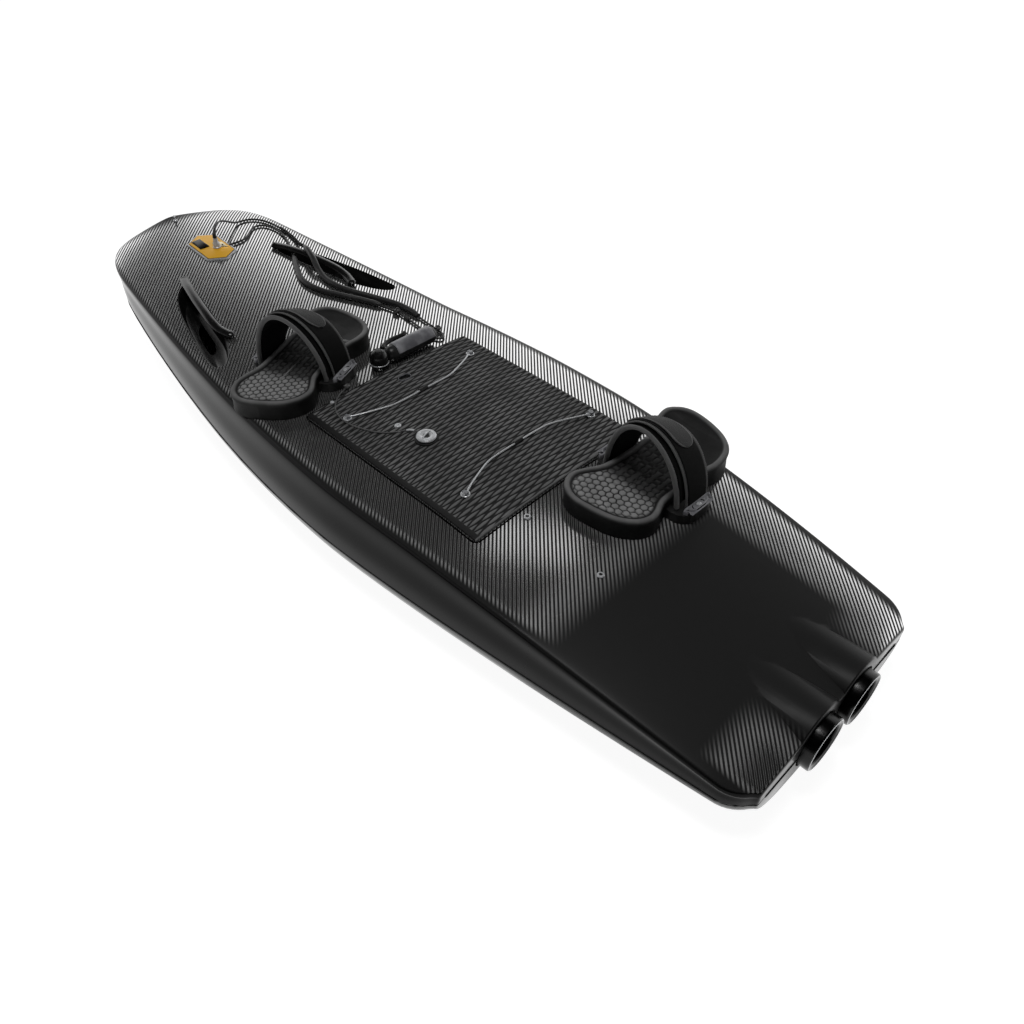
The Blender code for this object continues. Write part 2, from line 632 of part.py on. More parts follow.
def make_binding(prefix, binding):
    place = foot_frame(binding)
    hu, hv = PLATE_HALF
    plate_uv = rounded_rect(-0.004, 0.0, hu, hv, 0.030, 4)
    plate_line = [place(u, v) for u, v in plate_uv]
    skin(prefix + "_base_plate", plate_line, DECK_GAP, PLATE_THICK, "black_plastic", 6, 6)
    cx, cy, angle, toe_rise, forward = binding

    def pad_top(x, y):
        u = (x - cx) * math.sin(math.radians(angle)) - (y - cy) * math.cos(math.radians(angle))
        return PAD_HEIGHT + toe_rise * min(1.0, max(0.0, (u - 0.050) / 0.080)) ** 1.5

    pad = skin(prefix + "_footpad", pad_outline(place, forward), DECK_GAP, pad_top, "pad_rubber", 12, 12)
    cut(pad, skin(prefix + "_pad_pocket", [place(u, v) for u, v in rounded_rect(-0.004, 0.0, hu + 0.0006, hv + 0.0006, 0.0306, 4)], -0.004, PLATE_THICK + DECK_GAP, None, 6, 6))
    u0, u1 = STRAP_U
    liner = strap_band(prefix + "_strap_liner", place, 0.0, LINER_THICK, u0, u1, 0, 180, "foam", taper=0.28)
    strap = strap_band(prefix + "_strap", place, LINER_THICK + LAYER_GAP, STRAP_THICK, u0 + 0.018, u1 - 0.006, 0, 180, "webbing", taper=0.30)
    tab = strap_band(prefix + "_strap_tab", place, LINER_THICK + STRAP_THICK + 2 * LAYER_GAP, TAB_THICK, u0 + 0.030, u1 - 0.016, 62, 168, "webbing", steps=14, taper=0.2)
    # Cloth ends stand on the plate, which follows the deck.
    foot = skin(prefix + "_foot_trim", [place(u, v) for u, v in rounded_rect(0.0, 0.0, 0.10, 0.15, 0.02, 2)], -0.05, PLATE_THICK + DECK_GAP, None, 6, 6)
    for band in (liner, strap):
        cut(band, foot)
    for side in (1, -1):
        tag = "_fore" if side > 0 else "_aft"
        v0, v1 = ARCH_A + LINER_THICK + LAYER_GAP + STRAP_THICK + 0.0006, hv - 0.001
        ear = [(-0.034, v0), (-0.036, v0 + 0.008), (-0.030, v1 - 0.006), (-0.020, v1 - 0.001), (0.012, v1 - 0.001), (0.022, v1 - 0.006), (0.028, v0 + 0.008), (0.026, v0)]
        ear = [place(u, side * v) for u, v in ear]
        bracket = skin(prefix + "_bracket" + tag, ear, PLATE_THICK + GAP, PLATE_THICK + 0.0075, "grey_plastic", 3, 3)
        slot = [place(u - 0.004, side * v) for u, v in rounded_rect(0.0, (v0 + v1) / 2 + 0.001, 0.013, 0.0055, 0.0053, 3)]
        cut(bracket, prism(prefix + "_slot" + tag, slot, 0.0, 0.5))
        x, y = place(-0.004, side * ((v0 + v1) / 2 + 0.001))
        skin(prefix + "_screw" + tag, disc_outline(x, y, 0.0046, 16), PLATE_THICK + GAP, PLATE_THICK + 0.0060, "steel", 2, 2)


# ---- handles ----


def make_handle(side):
    tag = "port" if side > 0 else "starboard"
    outline = mirrored(HANDLE_OUTLINE, side)
    cup = skin("handle_cup_" + tag, outline, -0.040, -0.0012, "carbon", 8, 8)
    inner = skin("cup_hollow_" + tag, grown(outline, -0.0030), -0.036, 0.02, None, 8, 8)
    cut(cup, inner)
    path = []
    for x, y, h in ((0.6380, 0.1120, 0.0064), (0.6280, 0.1155, 0.0066), (0.6150, 0.1205, 0.0085), (0.5850, 0.1290, 0.0120), (0.5400, 0.1405, 0.0140), (0.4900, 0.1510, 0.0140), (0.4550, 0.1570, 0.0120), (0.4280, 0.1580, 0.0085), (0.4050, 0.1530, 0.0066), (0.3880, 0.1480, 0.0064)):
        path.append((x, side * y, deck_z(x, y) + h))
    bar = sweep("carry_handle_" + tag, path, 0.0095, "carbon", 12, flat=0.62)
    return cup, bar


# ---- nose ----


def make_tether_anchor():
    hexagon = [(0.774, 0.000), (0.752, 0.037), (0.668, 0.037), (0.646, 0.000), (0.668, -0.037), (0.752, -0.037)]
    skin("tether_plate", hexagon, GAP, 0.0050, "gold", 4, 4)
    x, y = 0.700, -0.008
    turned("tether_plug", (x, y, deck_z(x, y) + 0.0058), [(0.0075, 0.0), (0.0075, 0.010), (0.0052, 0.013), (0.0052, 0.020)], "grey_plastic", 20)


def make_nose_peg():
    x = 0.866
    turned("nose_peg", (x, 0.0, deck_z(x, 0.0) + 0.0006), [(0.0050, 0.0), (0.0050, 0.0030), (0.0022, 0.0045), (0.0022, 0.0090), (0.0034, 0.0110), (0.0030, 0.0130)], "steel", 16)


# ---- handset ----


def make_handset():
    y0, y1 = GRIP_Y
    z = deck_z(GRIP_X, -0.06) + GRIP_R + 0.0012

    def ring(y, rx, rz, dz=0.0, dx=0.0, sides=20):
        return [(GRIP_X + dx + rx * math.cos(a), y, z + dz + rz * math.sin(a)) for a in circle(sides)]

    r = GRIP_R
    body = rings("grip_body", [ring(y0, 0.60 * r, 0.60 * r), ring(y0 + 0.004, 0.86 * r, 0.86 * r), ring(y0 + 0.012, 0.97 * r, 0.97 * r), ring(y0 + 0.05, r, r), ring(y0 + 0.10, 0.97 * r, 0.97 * r), ring(y1 - 0.012, 0.94 * r, 0.94 * r), ring(y1 - 0.003, 0.80 * r, 0.80 * r), ring(y1, 0.55 * r, 0.55 * r)], "black_plastic")
    cover = rings("grip_cover", [ring(y, 1.13 * r, 1.13 * r) for y in (y0 + 0.010, y1 - 0.018)], "grey_plastic")
    cut(cover, rings("cover_bore", [ring(y, r + GAP, r + GAP) for y in (y0 - 0.01, y1 + 0.01)]))
    cut(cover, box("cover_half", (GRIP_X - 0.05, y0 - 0.02, z - 0.05), (GRIP_X + 0.05, y1 + 0.02, z + 0.004)))
    head_y = y1 + 0.0190
    head = turned("grip_head", (GRIP_X - 0.001, head_y, deck_z(GRIP_X, head_y) + 0.0013), [(0.010, 0.0), (0.0165, 0.004), (0.0180, 0.014), (0.0170, 0.026), (0.0130, 0.034), (0.006, 0.037)], "black_plastic", 24)
    px, pz = GRIP_X + r + 0.0078, z + 0.002
    pin_y = y1 - 0.008
    trigger = sweep("grip_trigger", [(px, pin_y, pz), (px + 0.008, pin_y - 0.014, pz), (px + 0.012, pin_y - 0.034, pz), (px + 0.010, pin_y - 0.056, pz), (px + 0.014, pin_y - 0.070, pz)], 0.0048, "black_plastic", 10, flat=1.0)
    return body, cover, head, trigger


# ---- cords ----


def smooth(points, steps=2):
    """A Catmull-Rom curve through the points, with its ends held."""
    points = [Vector(p) for p in points]
    path = []
    for i in range(len(points) - 1):
        a, b, c, d = points[max(i - 1, 0)], points[i], points[i + 1], points[min(i + 2, len(points) - 1)]
        for k in range(steps):
            t = k / steps
            path.append(0.5 * (2 * b + (c - a) * t + (2 * a - 5 * b + 4 * c - d) * t**2 + (3 * b - a - 3 * c + d) * t**3))
    return path + [points[-1]]


def make_cord(name, route, diameter, kind):
    curve = bpy.data.curves.new(name, "CURVE")
    curve.dimensions = "3D"
    curve.bevel_depth = diameter / 2
    curve.bevel_resolution = 2
    curve.use_fill_caps = True
    path = smooth([(x, y, deck_z(x, y) + h) for x, y, h in route])
    spline = curve.splines.new("POLY")
    spline.points.add(len(path) - 1)
    for point, place in zip(spline.points, path):
        point.co = (*place, 1.0)
    curve.materials.append(material_for(kind, name))
    obj = bpy.data.objects.new(name, curve)
    PARTS.objects.link(obj)


# ---- jets and inside ----


def make_jet(side):
    tag = "port" if side > 0 else "starboard"
    y, z = side * JET_Y, JET_Z
    pump = tube_x("pump_housing_" + tag, -0.8900, -0.550, y, z, [(0, PUMP_R), (1, PUMP_R)], "alloy")
    duct = box("duct_" + tag, (INTAKE_X[0] + 0.002, y - INTAKE_HALF + 0.0006, 0.0006), (INTAKE_X[1] - 0.002, y + INTAKE_HALF - 0.0006, z))
    join(pump, duct)
    cut(pump, tube_x("pump_bore_" + tag, -0.91, -0.553, y, z, [(0, PUMP_BORE), (1, PUMP_BORE)]))
    cut(pump, box("duct_hollow_" + tag, (INTAKE_X[0] + 0.006, y - INTAKE_HALF + 0.004, -0.01), (INTAKE_X[1] - 0.006, y + INTAKE_HALF - 0.004, z)))
    cut(pump, tube_x("shaft_bore_" + tag, -0.57, -0.53, y, z, [(0, 0.0058), (1, 0.0058)], sides=20))
    nozzle = tube_x("jet_nozzle_" + tag, -0.9100, -0.8903, y, z, [(0, NOZZLE_R - 0.0015), (0.06, NOZZLE_R), (1, NOZZLE_R)], "alloy", 44)
    cut(nozzle, tube_x("nozzle_bore_" + tag, -0.93, -0.88, y, z, [(0, NOZZLE_BORE), (0.21, NOZZLE_BORE), (0.8, 0.040), (1, 0.040)], sides=40))
    impeller = tube_x("impeller_" + tag, -0.838, -0.800, y, z, [(0, 0.008), (0.15, 0.013), (0.8, 0.014), (1, 0.010)], "steel", 24)
    join(impeller, tube_x("shaft_" + tag, -0.81, -0.532, y, z, [(0, 0.005), (1, 0.005)], sides=16))
    for i in range(4):
        angle = 2 * math.pi * i / 4
        verts = []
        for r in (0.008, 0.041):
            for dx, da in ((-0.013, -0.35), (0.013, 0.35)):
                for w in (-0.0011, 0.0011):
                    a = angle + da + w / 0.03
                    verts.append((-0.819 + dx, y + r * math.cos(a), z + r * math.sin(a)))
        faces = [(0, 1, 3, 2), (4, 6, 7, 5), (0, 2, 6, 4), (1, 5, 7, 3), (0, 4, 5, 1), (2, 3, 7, 6)]
        join(impeller, add_mesh(f"blade_{tag}_{i}", verts, faces))
    motor = tube_x("motor_" + tag, -0.500, -0.392, y, z, [(0, 0.040), (0.03, 0.044), (0.97, 0.044), (1, 0.040)], "alloy", 36)
    join(motor, tube_x("motor_nose_" + tag, -0.520, -0.495, y, z, [(0, 0.014), (1, 0.018)], sides=24))
    join(motor, box("motor_foot_" + tag, (-0.485, y - 0.030, 0.0056), (-0.405, y + 0.030, 0.060)))
    cut(motor, tube_x("motor_socket_" + tag, -0.535, -0.505, y, z, [(0, 0.0058), (1, 0.0058)], sides=20))
    grate = box("intake_grate_" + tag, (INTAKE_X[0] + 0.0064, y - INTAKE_HALF + 0.0044, 0.0010), (INTAKE_X[1] - 0.0064, y + INTAKE_HALF - 0.0044, 0.0055), "steel")
    for i in range(5):
        w = (2 * INTAKE_HALF - 0.0088 - 6 * 0.0028) / 5
        left = y - INTAKE_HALF + 0.0044 + 0.0028 + i * (w + 0.0028)
        cut(grate, box(f"grate_gap_{tag}_{i}", (INTAKE_X[0] + 0.010, left, -0.01), (INTAKE_X[1] - 0.010, left + w, 0.02)))


def make_inside():
    cx = (HATCH_X[0] + HATCH_X[1]) / 2
    line = rounded_rect(cx + 0.032, 0.0, 0.165, 0.150, 0.012, 3)
    prism("battery_pack", line, 0.0062, 0.128, "black_plastic")
    prism("motor_controller", rounded_rect(0.170, 0.0, 0.060, 0.080, 0.010, 3), 0.0062, 0.060, "alloy")


def make_plugs():
    for i, (x, y) in enumerate(((-0.381, 0.098), (-0.536, 0.100))):
        name = "deck_plug_" + ("fore", "aft")[i]
        skin(name, disc_outline(x, y, 0.0060, 20), GAP, 0.0030, "steel", 2, 2)


PARTS = CUTTERS = None


def main():
    global PARTS, CUTTERS
    clear_scene()
    PARTS = new_collection("jet_board")
    CUTTERS = new_collection("jet_board_cutters")
    CUTTERS.hide_render = True
    make_hull()
    make_deck()
    make_gasket()
    make_hatch()
    make_bail("bail_front", FRONT_BAIL)
    make_bail("bail_rear", REAR_BAIL)
    make_eyelets()
    make_binding("front", FRONT_BINDING)
    make_binding("rear", REAR_BINDING)
    for side in (1, -1):
        make_handle(side)
        make_jet(side)
    make_tether_anchor()
    make_nose_peg()
    make_handset()
    make_inside()
    make_plugs()
    make_cord("tether_cable", TETHER_ROUTE, TETHER_D, "black_plastic")
    make_cord("stop_lanyard", LANYARD_ROUTE, LANYARD_D, "grey_plastic")
    for obj in bpy.data.objects:
        obj.location.x += ORIGIN_X


main()
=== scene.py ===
"""The looks of the powered jet board: its pieces, their materials, the lights and the camera."""

import math

import bmesh
import bpy
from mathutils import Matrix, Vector


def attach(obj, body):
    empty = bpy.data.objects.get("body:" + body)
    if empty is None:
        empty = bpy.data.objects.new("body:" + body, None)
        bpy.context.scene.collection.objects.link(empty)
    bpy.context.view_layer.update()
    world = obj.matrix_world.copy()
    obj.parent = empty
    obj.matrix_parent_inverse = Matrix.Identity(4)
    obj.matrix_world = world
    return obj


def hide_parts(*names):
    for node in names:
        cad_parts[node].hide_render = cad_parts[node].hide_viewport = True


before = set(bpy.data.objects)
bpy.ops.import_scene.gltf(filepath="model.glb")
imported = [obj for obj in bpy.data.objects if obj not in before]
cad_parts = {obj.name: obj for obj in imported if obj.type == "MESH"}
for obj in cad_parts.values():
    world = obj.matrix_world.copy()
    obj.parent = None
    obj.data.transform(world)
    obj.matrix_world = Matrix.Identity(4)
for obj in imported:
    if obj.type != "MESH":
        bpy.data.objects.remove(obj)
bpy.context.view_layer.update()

# ---- the board's own shape, as the CAD has it: x to the nose, y to port, z up ----

ORIGIN_X = 0.0090  # every piece is drawn in the mould's frame and shifted by this
X_TAIL, X_NOSE = -0.893, 0.892
MAX_RIDGE, WIDEST_X = 0.274, -0.10
TAPER_FRONT, TAPER_REAR = 0.100, 0.080
NOSE_FROM, NOSE_BLUNT = 0.70, 3.8
TAIL_CORNER, FLARE, CROWN, WALL = 0.048, 0.027, 0.016, 0.005
SEAM_Z, TAIL_LIFT, SEAM_HALF = 0.083, 0.026, 0.0016
TAIL_ROUND = 0.006  # fillet of the transom's edges
HATCH_X, HATCH_HALF, HATCH_CORNER = (-0.363, 0.083), 0.192, 0.010
LID_GAP, PAD_MARGIN = 0.003, 0.002
KEY_AT, KEY_R, FINGER_AT = (-0.127, 0.087), 0.0180, (0.041, -0.004)
FRONT_BAIL = (0.018, -0.150, 0.147, -0.034)
REAR_BAIL = (-0.279, -0.168, 0.136, 0.031)
BAIL_Z, WIRE_R = 0.0066, 0.0016
FRONT_BINDING = (0.2005, 0.106, 22.0, 0.0, 0.0)
REAR_BINDING = (-0.466, -0.115, 1.0, 0.015, 0.008)
PAD_HEIGHT, PAD_SKEW, TOE_FALL = 0.036, 1.1, 0.40
PLATE_THICK, PLATE_HALF, STRAP_U = 0.018, (0.046, 0.0975), (-0.058, 0.050)
ARCH_A, ARCH_B, ARCH_SINK = 0.068, 0.132, 0.012
LAYER_GAP, LINER_THICK, STRAP_THICK, TAB_THICK = 0.0016, 0.009, 0.004, 0.003
JET_Y, JET_Z, FAIRING_R, PUMP_R = 0.052, 0.083, 0.062, 0.047
NOZZLE_R, NOZZLE_BORE = 0.044, 0.034
GRIP_X, GRIP_Y, GRIP_R = 0.105, (-0.134, -0.014), 0.0165
TETHER_D, LANYARD_D, THREAD_R = 0.0045, 0.0025, 0.00042
RIB_PITCH = 0.0086  # the carbon's ribs, along x
RIDGE = (0.0125, 0.046, 2.2)  # the foam's ridges: pitch along x, length along y, slant
TETHER_ROUTE = [
    (0.700, -0.008, 0.0272), (0.7012, -0.009, 0.0340), (0.708, -0.016, 0.0405),
    (0.720, -0.028, 0.0430), (0.735, -0.045, 0.0395), (0.750, -0.064, 0.0290),
    (0.763, -0.083, 0.0165), (0.774, -0.103, 0.0060), (0.780, -0.124, 0.0034),
    (0.777, -0.146, 0.0034), (0.763, -0.163, 0.0034), (0.738, -0.173, 0.0034),
    (0.700, -0.178, 0.0034), (0.655, -0.175, 0.0034), (0.616, -0.165, 0.0060),
    (0.587, -0.154, 0.0160), (0.560, -0.146, 0.0243), (0.530, -0.138, 0.0248),
    (0.503, -0.130, 0.0200), (0.475, -0.122, 0.0080), (0.445, -0.116, 0.0034),
    (0.410, -0.116, 0.0034), (0.375, -0.124, 0.0034), (0.340, -0.139, 0.0034),
    (0.299, -0.157, 0.0034), (0.262, -0.171, 0.0034), (0.222, -0.175, 0.0034),
    (0.182, -0.171, 0.0034), (0.148, -0.167, 0.0034), (0.122, -0.165, 0.0034),
    (0.106, -0.159, 0.0034), (0.101, -0.150, 0.0040), (0.108, -0.1415, 0.0040),
    (0.124, -0.1390, 0.0034), (0.150, -0.143, 0.0034), (0.185, -0.148, 0.0034),
    (0.220, -0.151, 0.0034), (0.256, -0.148, 0.0034), (0.297, -0.135, 0.0034),
    (0.332, -0.118, 0.0034), (0.365, -0.100, 0.0034), (0.400, -0.082, 0.0034),
    (0.435, -0.073, 0.0034), (0.470, -0.074, 0.0034), (0.510, -0.090, 0.0034),
    (0.560, -0.116, 0.0034), (0.605, -0.138, 0.0034), (0.650, -0.156, 0.0034),
    (0.690, -0.164, 0.0034), (0.720, -0.161, 0.0034), (0.737, -0.149, 0.0034),
    (0.739, -0.132, 0.0034), (0.729, -0.114, 0.0034), (0.712, -0.096, 0.0034),
    (0.699, -0.078, 0.0034), (0.694, -0.060, 0.0034), (0.694, -0.0400, 0.0034),
]
LANYARD_ROUTE = [
    (0.0960, 0.0880, 0.0040), (0.0925, 0.0990, 0.0024), (0.0850, 0.1130, 0.0052),
    (0.0740, 0.1290, 0.0063), (0.0590, 0.1435, 0.0063), (0.0400, 0.1530, 0.0063),
    (0.0180, 0.1565, 0.0063), (-0.0040, 0.1550, 0.0063), (-0.0250, 0.1490, 0.0063),
    (-0.0480, 0.1390, 0.0063), (-0.0680, 0.1250, 0.0063), (-0.0810, 0.1080, 0.0063),
    (-0.0920, 0.0950, 0.0075), (-0.1075, 0.0885, 0.0098),
]


def ramp(value, start, width):
    """0 up to start, 1 from a width past it, and a straight slope between."""
    return min(1.0, max(0.0, (value - start) / width))


def ridge_half(x):
    taper = TAPER_FRONT if x > WIDEST_X else TAPER_REAR
    half = MAX_RIDGE - taper * abs(x - WIDEST_X) ** 1.6
    if x > NOSE_FROM:
        t = min((x - NOSE_FROM) / (X_NOSE + 0.0005 - NOSE_FROM), 1.0)
        half *= (1 - t**NOSE_BLUNT) ** (1 / NOSE_BLUNT)
    corner = X_TAIL + TAIL_CORNER
    if x < corner:
        d = min(corner - x, TAIL_CORNER)
        half += math.sqrt(TAIL_CORNER**2 - d * d) - TAIL_CORNER
    return half


def seam_half(x):
    flare = FLARE * math.exp(-(((x - 0.05) / 0.62) ** 2))
    return ridge_half(x) + flare * min(1.0, ridge_half(x) / 0.12)


def ridge_z(x):
    if x < -0.25:
        return 0.181 - 0.071 * ((-0.25 - x) / 0.643) ** 1.6
    if x > 0.2:
        return 0.181 + 0.050 * ((x - 0.2) / 0.72) ** 1.3
    return 0.181


def seam_z(x):
    return SEAM_Z + 0.095 * max(0.0, (x - 0.1) / 0.82) ** 2


def keel_z(x):
    bow = 0.118 * max(0.0, (x - 0.25) / 0.67) ** 2
    return bow + TAIL_LIFT * max(0.0, (-0.50 - x) / 0.393) ** 1.6


def deck_z(x, y):
    return ridge_z(x) + CROWN * max(0.0, 1 - (y / max(ridge_half(x), 0.03)) ** 2)


def rake(x, z):
    return x - 0.42 * max(0.0, ridge_z(x) - z) * ramp(x, 0.55, 0.35) ** 2


def deck_section(x, inset):
    half, seam = ridge_half(x) - inset, seam_half(x) - inset
    top, low = ridge_z(x) - inset, seam_z(x) + SEAM_HALF
    s = min(1.0, half / 0.1)
    out = seam - half
    side = [
        (seam, low),
        (seam - 0.15 * out, low + 0.30 * (top - low)),
        (seam - 0.50 * out, low + 0.62 * (top - low)),
        (half + 0.10 * out + 0.0035 * s, top - 0.0080 * s),
        (half + 0.0010 * s, top - 0.0022 * s),
        (half - 0.0045 * s, top + 0.0002),
    ]
    crown = CROWN * min(1.0, half / 0.05)
    flat = [(half * t, top + crown * (1 - t * t)) for t in (0.90, 0.75, 0.58, 0.40, 0.20)]
    port = side + flat
    points = [(-y, z) for y, z in port] + [(0.0, top + crown)] + port[::-1]
    return [(rake(x, z), y, z) for y, z in points]


def hull_section(x, inset):
    seam = seam_half(x) - inset
    low = keel_z(x) + inset
    top = seam_z(x) - SEAM_HALF
    deep = top - low
    s = min(1.0, seam / 0.2)
    port = [
        (seam, top),
        (seam - 0.004 * s, top - 0.22 * deep),
        (seam - 0.015 * s, top - 0.48 * deep),
        (seam - 0.037 * s, top - 0.74 * deep),
        (seam - 0.066 * s, top - 0.91 * deep),
        (seam - 0.100 * s, low + 0.025 * deep),
        (seam * 0.42, low),
    ]
    points = [(-y, z) for y, z in port] + [(0.0, low)] + port[::-1]
    return [(rake(x, z), y, z) for y, z in points]


def smooth(points, steps):
    """A Catmull-Rom curve through the points, with its ends held."""
    points = [Vector(p) for p in points]
    path = []
    for i in range(len(points) - 1):
        a, d = points[max(i - 1, 0)], points[min(i + 2, len(points) - 1)]
        b, c = points[i : i + 2]
        for k in range(steps):
            t = k / steps
            bend, twist = 2 * a - 5 * b + 4 * c - d, 3 * b - a - 3 * c + d
            path.append(0.5 * (2 * b + (c - a) * t + bend * t**2 + twist * t**3))
    return path + [points[-1]]


def smooth_section(points):
    """A section's points on a smooth curve."""
    return [tuple(p) for p in smooth(points, 4)]


def foot_frame(binding):
    """Maps along-foot u, across-foot v and a height above the deck to the board."""
    cx, cy, angle = binding[:3]
    a = math.radians(angle)

    def place(u, v, h=None):
        x = cx + u * math.sin(a) + v * math.cos(a)
        y = cy - u * math.cos(a) + v * math.sin(a)
        return (x, y) if h is None else (x, y, deck_z(cx, cy) + h)

    return place


def above(x, y, h):
    """A point h above the deck."""
    return (x, y, deck_z(x, y) + h)


def turn(steps):
    return [2 * math.pi * i / steps for i in range(steps)]


def rounded_rect(cx, cy, hx, hy, radius, steps=8):
    points = []
    for qx, qy, start in ((1, 1, 0), (-1, 1, 90), (-1, -1, 180), (1, -1, 270)):
        for i in range(steps + 1):
            a = math.radians(start + 90 * i / steps)
            x, y = cx + qx * (hx - radius), cy + qy * (hy - radius)
            points.append((x + radius * math.cos(a), y + radius * math.sin(a)))
    return points


def stepped(outline, steps):
    """Rings over the deck from steps of (how far out, how high)."""
    return [[above(x, y, h) for x, y in grown(outline, d)] for d, h in steps]


def closed_curve(points, steps):
    """A smooth closed outline through the points."""
    ring = points[-1:] + points + points[:2]
    return [
        (p.x, p.y)
        for p in smooth([(x, y, 0) for x, y in ring], steps)[steps : (len(points) + 1) * steps]
    ]


def grown(outline, d):
    """A closed outline moved outward by d; it runs round its middle either way."""
    n = len(outline)
    cx, cy = sum(p[0] for p in outline) / n, sum(p[1] for p in outline) / n
    out = []
    for i, (x, y) in enumerate(outline):
        (ax, ay), (bx, by) = outline[i - 1], outline[(i + 1) % n]
        tx, ty = bx - ax, by - ay
        size = math.hypot(tx, ty) or 1.0
        nx, ny = ty / size, -tx / size
        if nx * (x - cx) + ny * (y - cy) < 0:
            nx, ny = -nx, -ny
        out.append((x + nx * d, y + ny * d))
    return out


# ---- materials ----


class Field:
    """A number inside a material, so that its nodes read as sums."""

    def __init__(self, look, socket):
        self.look, self.socket = look, socket

    def math(self, operation, *others):
        node = self.look.tree.nodes.new("ShaderNodeMath")
        node.operation = operation
        for i, value in enumerate((self, *others)):
            self.look.feed(node.inputs[i], value)
        return Field(self.look, node.outputs[0])

    def __add__(self, other):
        return self.math("ADD", other)

    def __sub__(self, other):
        return self.math("SUBTRACT", other)

    def __mul__(self, other):
        return self.math("MULTIPLY", other)

    def __truediv__(self, other):
        return self.math("DIVIDE", other)

    def floor(self):
        return self.math("FLOOR")

    def fract(self):
        return self.math("FRACT")

    def abs(self):
        return self.math("ABSOLUTE")

    def sine(self):
        return self.math("SINE")

    def above(self, other):
        return self.math("GREATER_THAN", other)

    def between(self, low, high):
        """0 at low, 1 at high, held beyond them; low may be the larger."""
        node = self.look.tree.nodes.new("ShaderNodeMapRange")
        node.interpolation_type = "SMOOTHSTEP"
        flip = low > high
        for i, value in enumerate(
            (self, min(low, high), max(low, high), float(flip), float(not flip))
        ):
            self.look.feed(node.inputs[i], value)
        return Field(self.look, node.outputs[0])


class Nodes:
    """A node tree in the making."""

    def __init__(self, tree):
        self.tree = tree

    def feed(self, socket, value):
        if isinstance(value, Field):
            value = value.socket
        if isinstance(value, bpy.types.NodeSocket):
            self.tree.links.new(value, socket)
        else:
            socket.default_value = value

    def split(self, vector):
        node = self.tree.nodes.new("ShaderNodeSeparateXYZ")
        self.tree.links.new(vector, node.inputs[0])
        return [Field(self, out) for out in node.outputs]


class Look(Nodes):
    """A material in the making: its coordinates, patterns and shader."""

    def __init__(self, name, **finish):
        self.material = bpy.data.materials.new(name)
        self.material.use_nodes = True
        super().__init__(self.material.node_tree)
        self.shader = self.tree.nodes["Principled BSDF"]
        for key, value in finish.items():
            self.shader.inputs[key.replace("_", " ")].default_value = value
        coords = self.tree.nodes.new("ShaderNodeTexCoord")
        self.object, self.uv = coords.outputs["Object"], coords.outputs["UV"]
        self.x, self.y, self.z = self.split(self.object)
        self.up = self.split(self.tree.nodes.new("ShaderNodeNewGeometry").outputs["Normal"])[2]
        self.last_bump = None

    def noise(self, scale, stretch=(1, 1, 1), detail=3.0):
        mapping = self.tree.nodes.new("ShaderNodeMapping")
        mapping.inputs["Scale"].default_value = stretch
        self.tree.links.new(self.object, mapping.inputs["Vector"])
        node = self.tree.nodes.new("ShaderNodeTexNoise")
        node.inputs["Scale"].default_value = scale
        node.inputs["Detail"].default_value = detail
        self.tree.links.new(mapping.outputs[0], node.inputs["Vector"])
        return Field(self, node.outputs["Fac"])

    def tone(self):
        """A number that the piece carries at each of its points."""
        node = self.tree.nodes.new("ShaderNodeAttribute")
        node.attribute_name = "tone"
        return Field(self, node.outputs["Fac"])

    def colour(self, low, high, factor):
        node = self.tree.nodes.new("ShaderNodeMix")
        node.data_type = "RGBA"
        self.feed(node.inputs[0], factor)
        for socket, value in zip(node.inputs[6:8], (low, high)):
            value = value if isinstance(value, (tuple, bpy.types.NodeSocket)) else (value,) * 3
            self.feed(socket, (*value, 1.0) if isinstance(value, tuple) else value)
        self.tree.links.new(node.outputs[2], self.shader.inputs["Base Color"])
        return node.outputs[2]

    def rough(self, low, high, factor):
        self.feed(self.shader.inputs["Roughness"], factor * (high - low) + low)

    def bump(self, height, distance, strength=1.0):
        node = self.tree.nodes.new("ShaderNodeBump")
        node.inputs["Strength"].default_value = strength
        node.inputs["Distance"].default_value = distance
        self.feed(node.inputs["Height"], height)
        if self.last_bump:
            self.tree.links.new(self.last_bump, node.inputs["Normal"])
        self.last_bump = node.outputs[0]
        self.tree.links.new(self.last_bump, self.shader.inputs["Normal"])


